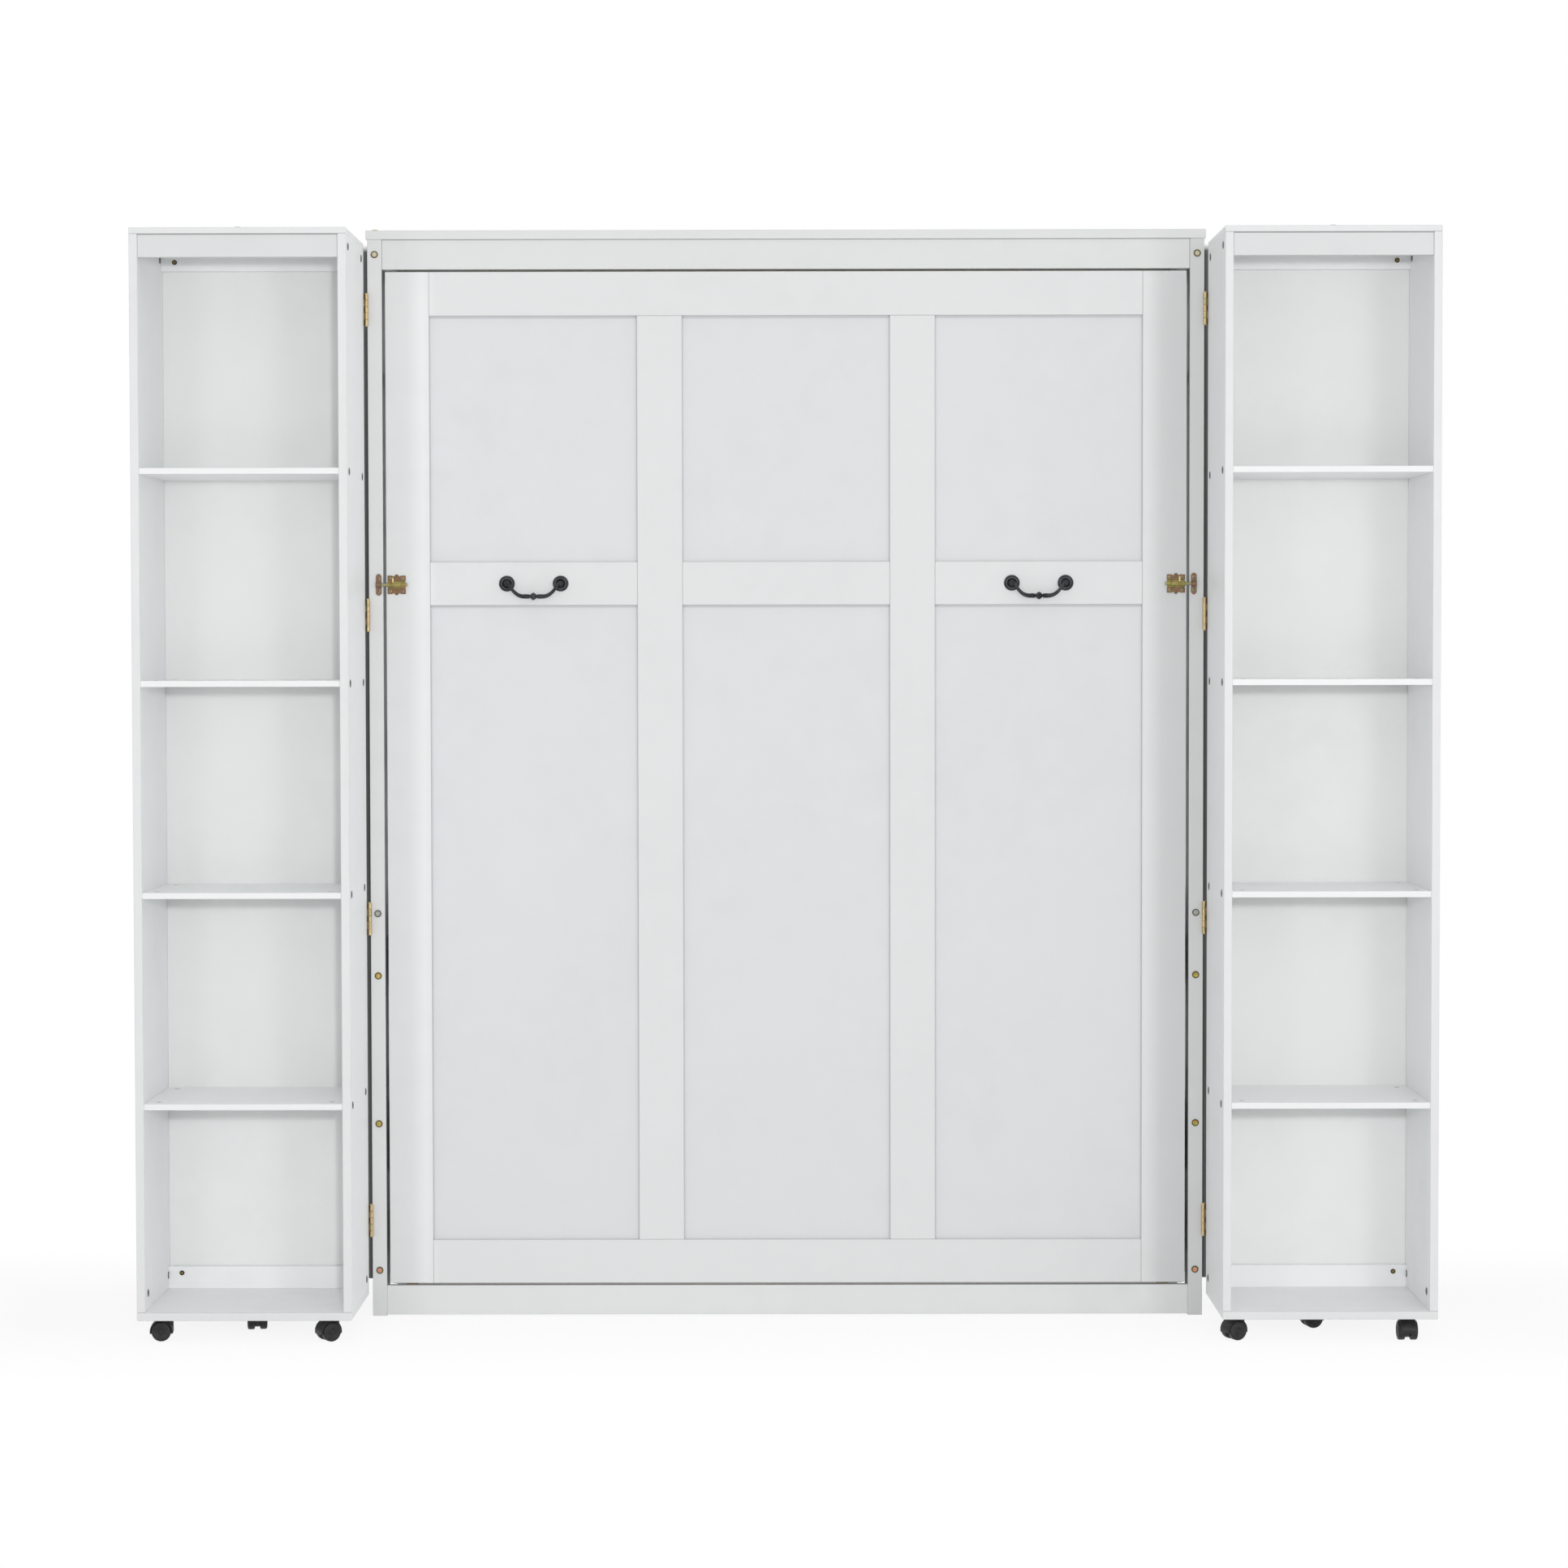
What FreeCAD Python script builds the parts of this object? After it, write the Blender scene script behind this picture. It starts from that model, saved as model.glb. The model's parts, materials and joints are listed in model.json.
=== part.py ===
import FreeCAD, Part
import math
import os

import Sketcher

# A wall bed: a cabinet that stands against a wall, a bed that folds down out of it,
# and a bookcase on casters hinged to each front post.
# X runs across the front, Y from the front to the wall, Z up from the floor.
# Heights start at the floor. Depths in the functions below start at the bed's front face.

SIZES = {
    # Cabinet
    "cabinet_width": 1680.0,
    "cabinet_height": 2190.0,
    "cabinet_depth": 450.0,
    "top_thick": 18.0,
    "top_side_lip": 3.0,
    "top_front_lip": 2.0,
    "post_width": 29.0,
    "post_depth": 60.0,
    "header_height": 60.0,
    "header_thick": 18.0,
    "header_recess": 2.0,
    "plinth_height": 62.0,
    "plinth_thick": 16.0,
    "plinth_lift": 3.0,
    "side_board_thick": 18.0,
    "side_board_recess": 2.0,
    "lower_board_height": 360.0,
    "middle_board_low": 660.0,
    "middle_board_height": 188.0,
    "rear_rail_thick": 18.0,
    "rear_rail_height": 90.0,
    "rear_middle_low": 1100.0,
    "wall_hole_radius": 4.0,
    "wall_hole_pitch": 406.4,
    "wall_hole_count": 4,
    "board_ease": 0.8,
    # Bolts that join the posts to the side boards
    "bolt_head_radius": 7.3,
    "bolt_head_height": 2.0,
    "bolt_shank_radius": 3.0,
    "bolt_hole_radius": 3.2,
    "bolt_grip": 20.0,
    "bolt_margin": 31.0,
    "cap_screw_length": 40.0,
    # Bed front: a flat panel with raised strips
    "door_gap": 5.0,
    "side_gap": 6.5,
    "strip_thick": 7.0,
    "panel_thick": 9.0,
    "stile_width": 88.0,
    "rail_height": 88.0,
    "mullion_width": 91.0,
    "mid_rail_height": 87.0,
    "mid_rail_centre": 1482.0,
    # Bed box behind the front
    "box_inset": 12.5,
    "box_depth": 200.0,
    "box_low": 30.0,
    "box_drop": 5.0,
    "box_board_thick": 18.0,
    "box_corner": 30.0,
    "box_nose_back": 28.0,
    "box_nose_high": 7.0,
    "head_board_depth": 140.0,
    "ledger_thick": 24.0,
    "ledger_depth": 40.0,
    "ledger_end_gap": 12.0,
    "beam_width": 40.0,
    "slat_face": 64.0,
    "slat_thick": 12.0,
    "slat_width": 70.0,
    "slat_count": 13,
    "slat_end_gap": 2.0,
    # Bed pivot
    "pivot_back": 75.0,
    "pivot_height": 350.0,
    "pin_radius": 10.0,
    "running_gap": 0.05,
    "axial_gap": 0.5,
    "shoulder_radius": 15.0,
    "bush_radius": 17.0,
    "bush_length": 12.0,
    "pivot_plate_thick": 5.0,
    "pivot_plate_depth": 120.0,
    "pivot_plate_height": 130.0,
    "plate_post_gap": 1.0,
    "arm_thick": 5.0,
    "arm_radius": 26.0,
    "arm_rise": 120.0,
    "arm_tip_radius": 20.0,
    # Gas struts
    "stud_reach": 70.0,
    "stud_angle": 30.0,
    "stud_radius": 7.0,
    "strut_top": 754.0,
    "strut_board_gap": 13.0,
    "strut_eye_radius": 8.0,
    "strut_eye_width": 11.0,
    "strut_pin_radius": 4.0,
    "strut_tube_radius": 9.0,
    "strut_wall": 1.5,
    "strut_tube_length": 300.0,
    "strut_gland": 12.0,
    "strut_rod_radius": 5.0,
    "strut_rod_length": 262.0,
    "strut_piston": 14.0,
    "strut_neck": 14.0,
    "strut_plate_thick": 4.0,
    "strut_plate_half": 24.0,
    "strut_side_gap": 0.3,
    "strut_cap": 1.6,
    # Folding leg at the bed's foot
    "leg_back": 100.0,
    "leg_inset": 202.0,
    "leg_stow_angle": 36.0,
    "leg_floor_gap": 0.5,
    "leg_bar_radius": 11.0,
    "leg_arm_thick": 4.0,
    "leg_arm_gap": 1.0,
    "leg_pin_radius": 7.0,
    "leg_pin_tip": 0.7,
    "leg_shoulder_radius": 12.0,
    "leg_shoulder_gap": 0.3,
    # Bail handles
    "rose_spacing": 108.0,
    "rose_radius": 16.0,
    "rose_rim": 2.0,
    "rose_ring_radius": 11.5,
    "rose_ring_height": 4.2,
    "rose_dome_radius": 6.0,
    "rose_dome_height": 7.0,
    "boss_radius": 3.9,
    "boss_neck_radius": 2.8,
    "bail_stand": 16.0,
    "bail_drop": 24.6,
    "bail_slope": 55.0,
    "bail_elbow": 3.0,
    "bail_bend": 18.0,
    "bail_pin_radius": 2.0,
    "bail_pin_depth": 5.0,
    "bail_rod_radius": 2.0,
    "bail_grip_radius": 3.75,
    "bail_collar_radius": 4.2,
    "bail_collar_half": 9.0,
    "bail_collar_width": 2.6,
    "bail_bead_radius": 7.2,
    "bail_bead_half": 6.2,
    "bail_waist_radius": 2.6,
    # Barrel bolts that lock the bed
    "latch_height": 1480.0,
    "latch_plate_thick": 1.5,
    "latch_plate_width": 36.5,
    "latch_plate_height": 37.0,
    "latch_corner": 5.5,
    "latch_inset": 2.2,
    "barrel_radius": 5.2,
    "rod_radius": 2.9,
    "rod_length": 64.0,
    "rod_tail": 4.0,
    "rod_tip_ease": 0.8,
    "latch_travel": 14.0,
    "knob_width": 4.0,
    "knob_thick": 3.0,
    "knob_height": 14.5,
    "knob_offset": 9.0,
    "knob_side_gap": 0.6,
    "keeper_width": 11.4,
    "keeper_height": 36.0,
    "keeper_inset": 3.5,
    "keeper_bore_radius": 3.25,
    # Butt hinges between the posts and the bookcases
    "hinge_first": 195.0,
    "hinge_pitch": 612.0,
    "hinge_count": 4,
    "hinge_height": 65.0,
    "hinge_axis_out": 1.5,
    "hinge_axis_front": 5.5,
    "knuckle_radius": 4.0,
    "knuckle_gap": 0.3,
    "knuckle_count": 5,
    "hinge_pin_radius": 1.5,
    "leaf_thick": 1.2,
    "leaf_width": 25.0,
    "leaf_start": 4.3,
    # Bookcases
    "case_gap": 7.0,
    "case_width": 418.0,
    "case_depth": 300.0,
    "case_height": 2118.0,
    "case_lift": 45.0,
    "case_wall": 16.0,
    "case_top_thick": 12.0,
    "case_base_thick": 16.0,
    "case_back_thick": 6.0,
    "cleat_height": 45.0,
    "cleat_thick": 16.0,
    "valance_recess": 3.0,
    "shelf_thick": 12.0,
    "shelf_first": 417.0,
    "shelf_pitch": 411.0,
    "shelf_count": 4,
    "shelf_recess": 2.0,
    # Casters under the bookcases
    "caster_inset_outer": 55.0,
    "caster_inset_inner": 38.5,
    "caster_inset_front": 45.0,
    "caster_inset_back": 125.0,
    "caster_trail": 14.0,
    "wheel_radius": 19.0,
    "wheel_half": 19.5,
    "wheel_inner": 5.0,
    "wheel_bulge": 4.5,
    "wheel_round": 3.0,
    "axle_radius": 3.0,
    "hood_radius": 22.5,
    "hood_wall": 2.5,
    "hood_half": 15.5,
    "hood_drop": 4.5,
    "web_half": 4.5,
    "block_radius": 9.0,
    "block_rise": 3.0,
    "neck_radius": 7.0,
    "stem_radius": 5.0,
    "stem_length": 13.0,
    "socket_radius": 6.5,
    "socket_length": 14.0,
    "left_outer_turn": 5.0,
    "left_inner_turn": 34.0,
    "left_back_turn": 100.0,
    "right_outer_turn": 90.0,
    "right_inner_turn": 27.0,
    "right_back_turn": 12.0,
}

os.makedirs("parts", exist_ok=True)
doc = FreeCAD.newDocument("WallBed")
sheet = doc.addObject("Spreadsheet::Sheet", "Sizes")
for row, (name, value) in enumerate(SIZES.items(), start=1):
    sheet.set(f"A{row}", name)
    sheet.set(f"B{row}", str(value))
    sheet.setAlias(f"B{row}", name)
doc.recompute()

ORIGIN = FreeCAD.Vector(0, 0, 0)
ACROSS = FreeCAD.Vector(1, 0, 0)
BACKWARD = FreeCAD.Vector(0, 1, 0)
UP = FreeCAD.Vector(0, 0, 1)
ALONG = {
    "x": FreeCAD.Rotation(UP, ACROSS),
    "y": FreeCAD.Rotation(UP, BACKWARD),
    "z": FreeCAD.Rotation(),
}


class Size:
    """A length or an angle, held as a number and as the formula that gives it from the sheet."""

    def __init__(self, number, formula):
        self.number = number
        self.formula = formula

    def __add__(self, other):
        other = sized(other)
        return Size(self.number + other.number, f"({self.formula} + {other.formula})")

    def __sub__(self, other):
        other = sized(other)
        return Size(self.number - other.number, f"({self.formula} - {other.formula})")

    def __mul__(self, other):
        other = sized(other)
        return Size(self.number * other.number, f"({self.formula} * {other.formula})")

    def __truediv__(self, other):
        other = sized(other)
        return Size(self.number / other.number, f"({self.formula} / {other.formula})")

    def __neg__(self):
        return Size(-self.number, f"(-1 * {self.formula})")

    __radd__ = __add__
    __rmul__ = __mul__


def sized(value):
    """The value as a Size, where it is a plain number."""
    return value if isinstance(value, Size) else Size(value, str(value))


def cosine(angle):
    return Size(math.cos(math.radians(angle.number)), f"cos({angle.formula} * 1 deg)")


def sine(angle):
    return Size(math.sin(math.radians(angle.number)), f"sin({angle.formula} * 1 deg)")


class Cells:
    """The sheet's cells as attributes, each a Size."""

    def __getattr__(self, name):
        return Size(float(SIZES[name]), f"Sizes.{name}")


s = Cells()
nodes = []

# Levels and places that several pieces share
half_cabinet = s.cabinet_width / 2
post_inner = half_cabinet - s.post_width
under_top = s.cabinet_height - s.top_thick
under_header = under_top - s.header_height
board_outer = half_cabinet - s.side_board_recess
board_inner = board_outer - s.side_board_thick
half_door = post_inner - s.side_gap
door_low = s.plinth_height + s.door_gap
door_high = under_header - s.door_gap
panel_back = s.strip_thick + s.panel_thick
box_outer = half_door - s.box_inset
box_inner = box_outer - s.box_board_thick
box_high = door_high - s.box_drop
leg_height = box_high - s.leg_inset
strut_centre = board_inner - s.strut_board_gap
case_inner = half_cabinet + s.case_gap
case_base = s.case_lift
case_top = s.case_lift + s.case_height
face_y = -(s.cabinet_depth - s.case_gap - s.case_depth) / 2


def bind(item, prop, size):
    """Tie a property to a size's formula."""
    item.setExpression(prop, sized(size).formula)


def place(item, x, y, z, turn=None):
    """Put a piece at x, at a depth behind the bed's front face and at a height."""
    if turn is not None:
        item.Placement = FreeCAD.Placement(ORIGIN, FreeCAD.Rotation(UP, turn.number))
        item.setExpression("Placement.Rotation.Angle", f"{turn.formula} * 1 deg")
    bind(item, "Placement.Base.x", x)
    bind(item, "Placement.Base.y", face_y + y)
    bind(item, "Placement.Base.z", z)
    return item


def node(name, item):
    """Name a finished sub-part."""
    item.Label = name
    nodes.append(item)
    return item


def group(name, pieces):
    """Separate solids of one kind, kept together under one name."""
    item = doc.addObject("Part::Compound", f"{name}_group")
    item.Links = pieces
    return node(name, item)


def fuse(name, pieces):
    item = doc.addObject("Part::MultiFuse", name)
    item.Shapes = pieces
    return item


def cut(name, base, tools):
    """The base less every tool."""
    tool = tools[0] if len(tools) == 1 else fuse(f"{name}_tools", tools)
    item = doc.addObject("Part::Cut", name)
    item.Base = base
    item.Tool = tool
    return item


def mirrored(name, source):
    """The same piece on the other side of the middle."""
    item = doc.addObject("Part::Mirroring", name)
    item.Source = source
    item.Base = ORIGIN
    item.Normal = ACROSS
    return item


def box(name, x, y, z, wide, deep, tall):
    item = doc.addObject("Part::Box", name)
    bind(item, "Length", wide)
    bind(item, "Width", deep)
    bind(item, "Height", tall)
    return place(item, x, y, z)


def cylinder(name, axis, x, y, z, radius, length):
    """A round bar from a point along an axis."""
    item = doc.addObject("Part::Cylinder", name)
    item.Placement = FreeCAD.Placement(ORIGIN, ALONG[axis])
    bind(item, "Radius", radius)
    bind(item, "Height", length)
    return place(item, x, y, z)


def board(name, x, y, z, wide, deep, tall):
    """A flat board with eased edges, from its low corner."""
    body = doc.addObject("PartDesign::Body", f"{name}_body")
    block = body.newObject("PartDesign::AdditiveBox", f"{name}_block")
    bind(block, "Length", wide)
    bind(block, "Width", deep)
    bind(block, "Height", tall)
    ease = body.newObject("PartDesign::Chamfer", f"{name}_ease")
    ease.Base = (block, ["Edge1"])
    ease.UseAllEdges = True
    bind(ease, "Size", s.board_ease)
    body.Tip = ease
    return place(body, x, y, z)


def origin_plane(body, role):
    return next(item for item in body.Origin.OriginFeatures if item.Role == role)


def fix_point(flat, curve, corner, u, v, tag):
    """Hold one point of a sketch at its two distances from the sketch's origin."""
    for kind, size, letter in (("DistanceX", u, "u"), ("DistanceY", v, "v")):
        if size is None:
            continue
        rule = Sketcher.Constraint(kind, -1, 1, curve, corner, sized(size).number)
        index = flat.addConstraint(rule)
        flat.renameConstraint(index, f"{letter}{tag}")
        bind(flat, f"Constraints.{letter}{tag}", size)


START, END, CENTRE = 1, 2, 3


def outline(body, plane, name, points, closed=True):
    """A sketch through points: (u, v) ends a line, (u, v, centre u, centre v, turn) an arc."""
    flat = body.newObject("Sketcher::SketchObject", name)
    flat.AttachmentSupport = [(origin_plane(body, plane), "")]
    flat.MapMode = "FlatFace"
    first = points[0]
    ends = []
    runs = list(zip(points, points[1:] + [first] if closed else points[1:]))
    for start, end in runs:
        p = FreeCAD.Vector(sized(start[0]).number, sized(start[1]).number, 0)
        q = FreeCAD.Vector(sized(end[0]).number, sized(end[1]).number, 0)
        if len(end) == 2:
            flat.addGeometry(Part.LineSegment(p, q))
            ends.append((START, END))
            continue
        centre = FreeCAD.Vector(sized(end[2]).number, sized(end[3]).number, 0)
        low = math.atan2(p.y - centre.y, p.x - centre.x)
        high = math.atan2(q.y - centre.y, q.x - centre.x)
        left = end[4] == "left"
        low, high = (low, high) if left else (high, low)
        high += 2 * math.pi if high < low else 0
        circle = Part.Circle(centre, UP, (p - centre).Length)
        flat.addGeometry(Part.ArcOfCircle(circle, low, high))
        ends.append((START, END) if left else (END, START))
    count = len(runs)
    for index in range(count if closed else count - 1):
        following = (index + 1) % count
        rule = ("Coincident", index, ends[index][1], following, ends[following][0])
        flat.addConstraint(Sketcher.Constraint(*rule))
    for index, (start, end) in enumerate(runs):
        fix_point(flat, index, ends[index][0], start[0], start[1], f"p{index}")
        if len(end) > 2:
            wide = abs(sized(end[0]).number - sized(start[0]).number)
            tall = abs(sized(end[1]).number - sized(start[1]).number)
            known = (end[2], None) if tall >= wide else (None, end[3])
            fix_point(flat, index, CENTRE, known[0], known[1], f"c{index}")
    if not closed:
        fix_point(flat, count - 1, ends[-1][1], points[-1][0], points[-1][1], "last")
    return flat


def plate(name, points, thick, x, y, z, plane="YZ_Plane"):
    """A flat plate of the given outline, thickened along its plane's normal."""
    body = doc.addObject("PartDesign::Body", f"{name}_body")
    pad = body.newObject("PartDesign::Pad", f"{name}_pad")
    pad.Profile = outline(body, plane, f"{name}_outline", points)
    bind(pad, "Length", thick)
    body.Tip = pad
    return place(body, x, y, z)


def turned(name, points, axis, plane, x, y, z, turn=None):
    """A piece turned on a lathe: the outline goes once round an axis of its sketch."""
    body = doc.addObject("PartDesign::Body", f"{name}_body")
    lathe = body.newObject("PartDesign::Revolution", f"{name}_turning")
    flat = outline(body, plane, f"{name}_outline", points)
    lathe.Profile = flat
    lathe.ReferenceAxis = (flat, [axis])
    body.Tip = lathe
    return place(body, x, y, z, turn)


def slot_points(u, v, reach, angle, radius):
    """A bar with round ends, from a point, at an angle back from straight down."""
    along = (sine(angle), -cosine(angle))
    side = (cosine(angle) * radius, sine(angle) * radius)
    far = (u + reach * along[0], v + reach * along[1])
    return [
        (u - side[0], v - side[1], u, v, "left"),
        (far[0] - side[0], far[1] - side[1]),
        (far[0] + side[0], far[1] + side[1], far[0], far[1], "left"),
        (u + side[0], v + side[1]),
    ]


def side_low(side, near, far):
    """The lower x of a piece that lies between two distances from the middle."""
    return near if side > 0 else -far


SIDES = (("left", -1), ("right", 1))
COLUMNS = 3
KEEPER_ROUND_SHARE = 0.35
BEAD_SHOULDER_SHARE = 0.72
WHEEL_EASE_SHARE = 1 / 3


# Cabinet

def bolt_heights():
    """Where the bolts go through the posts, two to each side board and one to the top rail."""
    lower_top = s.plinth_height + s.lower_board_height
    middle_top = s.middle_board_low + s.middle_board_height
    return [
        s.plinth_height + s.bolt_margin,
        lower_top - s.bolt_margin,
        s.middle_board_low + s.bolt_margin,
        middle_top - s.bolt_margin,
        under_header + s.header_height / 2,
    ]


def bolt_bars(name, start, radius, length):
    """Round bars along the bolts' lines, from a depth behind the posts' front faces."""
    bars = []
    across = half_cabinet - s.post_width / 2
    for side, sign in SIDES:
        for index, height in enumerate(bolt_heights()):
            x = across if sign > 0 else -across
            bars.append(cylinder(f"{name}_{side}_{index}", "y", x, start, height, radius, length))
    return bars


def cabinet_boards():
    lip = half_cabinet + s.top_side_lip
    top_depth = s.cabinet_depth + s.top_front_lip
    top = board("top_board", -lip, -s.top_front_lip, under_top, 2 * lip, top_depth, s.top_thick)
    node("top_board", top)
    header = board("header_board", -post_inner, s.header_recess, under_header,
                   2 * post_inner, s.header_thick, s.header_height)
    node("header_board", header)
    plinth_tall = s.plinth_height - s.plinth_lift
    plinth = board("plinth_board", -post_inner, 0, s.plinth_lift,
                   2 * post_inner, s.plinth_thick, plinth_tall)
    node("plinth_board", plinth)


def cabinet_posts():
    rear_y = s.cabinet_depth - s.post_depth
    front = []
    rear = []
    for side, sign in SIDES:
        x = side_low(sign, post_inner, half_cabinet)
        front.append(board(f"front_post_{side}", x, 0, 0, s.post_width, s.post_depth, under_top))
        rear.append(board(f"rear_post_{side}", x, rear_y, 0, s.post_width, s.post_depth, under_top))
    pair = doc.addObject("Part::Compound", "front_post_pair")
    pair.Links = front
    holes = bolt_bars("post_hole", 0, s.bolt_hole_radius, s.post_depth)
    node("front_posts", cut("front_posts_bored", pair, holes))
    group("rear_posts", rear)


def side_boards(name, low, tall):
    """A pair of boards between the front and the rear posts, bored in their front ends."""
    deep = s.cabinet_depth - 2 * s.post_depth
    pieces = []
    for side, sign in SIDES:
        x = side_low(sign, board_inner, board_outer)
        pieces.append(board(f"{name}_{side}", x, s.post_depth, low, s.side_board_thick, deep, tall))
    pair = doc.addObject("Part::Compound", f"{name}_pair")
    pair.Links = pieces
    reach = s.post_depth + s.bolt_grip + s.bolt_hole_radius
    node(name, cut(f"{name}_bored", pair, bolt_bars(f"{name}_hole", 0, s.bolt_hole_radius, reach)))


def rear_rails():
    y = s.cabinet_depth - s.rear_rail_thick
    top_low = under_top - s.rear_rail_height
    lows = {"top": top_low, "middle": s.rear_middle_low, "bottom": s.plinth_height}
    rails = {}
    for level, low in lows.items():
        rails[level] = board(f"rear_rail_{level}", -post_inner, y, low,
                             2 * post_inner, s.rear_rail_thick, s.rear_rail_height)
    holes = []
    count = int(SIZES["wall_hole_count"])
    for index in range(count):
        x = s.wall_hole_pitch * (index - (count - 1) / 2)
        height = top_low + s.rear_rail_height / 2
        holes.append(cylinder(f"wall_hole_{index}", "y", x, y, height,
                              s.wall_hole_radius, s.rear_rail_thick))
    top = cut("rear_rail_top_bored", rails["top"], holes)
    group("rear_rails", [top, rails["middle"], rails["bottom"]])


def frame_bolts():
    """Flat-headed bolts through the posts, and the cap screw of the top board."""
    shanks = bolt_bars("bolt_shank", 0, s.bolt_shank_radius, s.post_depth + s.bolt_grip)
    heads = bolt_bars("bolt_head", -s.bolt_head_height, s.bolt_head_radius, s.bolt_head_height)
    group("frame_bolts", [fuse(f"bolt_{index}", [head, shank])
                          for index, (head, shank) in enumerate(zip(heads, shanks))])


def pivot_plates():
    """Steel plates on the side boards, each with the pin that carries the bed."""
    y = s.post_depth + s.plate_post_gap
    low = s.pivot_height - s.pivot_plate_height / 2
    inner = board_inner - s.pivot_plate_thick
    shoulder_end = box_outer + s.bush_length + s.axial_gap
    sheet_plate = box("pivot_plate_sheet", inner, y, low,
                      s.pivot_plate_thick, s.pivot_plate_depth, s.pivot_plate_height)
    shoulder = cylinder("pivot_shoulder", "x", shoulder_end, s.pivot_back, s.pivot_height,
                        s.shoulder_radius, inner - shoulder_end)
    pin_start = box_outer + s.axial_gap
    pin = cylinder("pivot_pin", "x", pin_start, s.pivot_back, s.pivot_height,
                   s.pin_radius, inner - pin_start)
    right = fuse("pivot_plate_right", [sheet_plate, shoulder, pin])
    group("pivot_plates", [mirrored("pivot_plate_left", right), right])


def strut_brackets():
    """Plates on the middle boards, each with the stud that the strut's upper eye turns on."""
    y = s.pivot_back + s.stud_reach * sine(s.stud_angle)
    inner = board_inner - s.strut_plate_thick
    eye_low = strut_centre - s.strut_eye_width / 2
    eye_high = strut_centre + s.strut_eye_width / 2
    base = box("strut_bracket_sheet", inner, y - s.strut_plate_half, s.strut_top - s.strut_plate_half,
               s.strut_plate_thick, 2 * s.strut_plate_half, 2 * s.strut_plate_half)
    collar_start = eye_high + s.strut_side_gap
    collar = cylinder("strut_bracket_collar", "x", collar_start, y, s.strut_top,
                      s.strut_eye_radius, inner - collar_start)
    cap_start = eye_low - s.strut_side_gap - s.strut_cap
    stud = cylinder("strut_bracket_stud", "x", cap_start, y, s.strut_top,
                    s.strut_pin_radius, inner - cap_start)
    cap = cylinder("strut_bracket_cap", "x", cap_start, y, s.strut_top,
                   s.strut_eye_radius, s.strut_cap)
    right = fuse("strut_bracket_right", [base, collar, stud, cap])
    group("strut_brackets", [mirrored("strut_bracket_left", right), right])


# Bed

def bed_front():
    panel_tall = door_high - door_low
    node("door_panel", board("door_panel", -half_door, s.strip_thick, door_low,
                             2 * half_door, s.panel_thick, panel_tall))
    stile_inner = half_door - s.stile_width
    stiles = []
    for side, sign in SIDES:
        x = side_low(sign, stile_inner, half_door)
        stiles.append(board(f"stile_{side}", x, 0, door_low, s.stile_width, s.strip_thick, panel_tall))
    group("door_stiles", stiles)
    column = (2 * stile_inner - 2 * s.mullion_width) / COLUMNS
    mullion_inner = column / 2
    mullion_outer = mullion_inner + s.mullion_width
    field_low = door_low + s.rail_height
    field_tall = panel_tall - 2 * s.rail_height
    mullions = []
    for side, sign in SIDES:
        x = side_low(sign, mullion_inner, mullion_outer)
        mullions.append(board(f"mullion_{side}", x, 0, field_low,
                              s.mullion_width, s.strip_thick, field_tall))
    group("door_mullions", mullions)
    rails = []
    for level, low in (("bottom", door_low), ("top", door_high - s.rail_height)):
        rails.append(board(f"door_rail_{level}", -stile_inner, 0, low,
                           2 * stile_inner, s.strip_thick, s.rail_height))
    mid_low = s.mid_rail_centre - s.mid_rail_height / 2
    for place_name, x in (("left", -stile_inner), ("middle", -mullion_inner), ("right", mullion_outer)):
        rails.append(board(f"door_rail_{place_name}", x, 0, mid_low,
                           column, s.strip_thick, s.mid_rail_height))
    group("door_rails", rails)
    return mullion_outer + column / 2


def bed_box():
    """Two side rails with shaped ends, a head board and a foot board."""
    back = s.box_depth
    low_turn = (back - s.box_corner, s.box_low + s.box_corner)
    high_turn = (back - s.box_corner, box_high - s.box_corner)
    shape = [
        (panel_back, box_high),
        (panel_back, door_low + s.box_nose_high),
        (s.box_nose_back, s.box_low),
        (low_turn[0], s.box_low),
        (back, low_turn[1], low_turn[0], low_turn[1], "left"),
        (back, high_turn[1]),
        (high_turn[0], box_high, high_turn[0], high_turn[1], "left"),
    ]
    pieces = []
    for side, sign in SIDES:
        x = side_low(sign, box_inner, box_outer)
        pieces.append(plate(f"bed_rail_{side}", shape, s.box_board_thick, x, 0, 0))
    head = board("head_board", -box_inner, s.box_nose_back, s.box_low,
                 2 * box_inner, s.head_board_depth, s.box_board_thick)
    foot = board("foot_board", -box_inner, panel_back, box_high - s.box_board_thick,
                 2 * box_inner, high_turn[0] - panel_back, s.box_board_thick)
    group("bed_box_boards", pieces + [head, foot])


def bed_base():
    """Ledgers, a middle beam and the slats that carry the mattress."""
    inner_low = s.box_low + s.box_board_thick
    inner_high = box_high - s.box_board_thick
    supports = []
    ledger_y = s.slat_face - s.ledger_depth
    ledger_low = inner_low + s.ledger_end_gap
    ledger_tall = inner_high - s.ledger_end_gap - ledger_low
    for side, sign in SIDES:
        x = side_low(sign, box_inner - s.ledger_thick, box_inner)
        supports.append(board(f"ledger_{side}", x, ledger_y, ledger_low,
                              s.ledger_thick, s.ledger_depth, ledger_tall))
    supports.append(board("centre_beam", -s.beam_width / 2, panel_back, door_low,
                          s.beam_width, s.slat_face - panel_back, inner_high - door_low))
    group("slat_supports", supports)
    half_slat = box_inner - s.slat_end_gap
    count = int(SIZES["slat_count"])
    span = ledger_tall - s.slat_width
    slats = []
    for index in range(count):
        low = ledger_low + span * (index / (count - 1))
        slats.append(board(f"slat_{index}", -half_slat, s.slat_face, low,
                           2 * half_slat, s.slat_thick, s.slat_width))
    group("bed_slats", slats)


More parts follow.
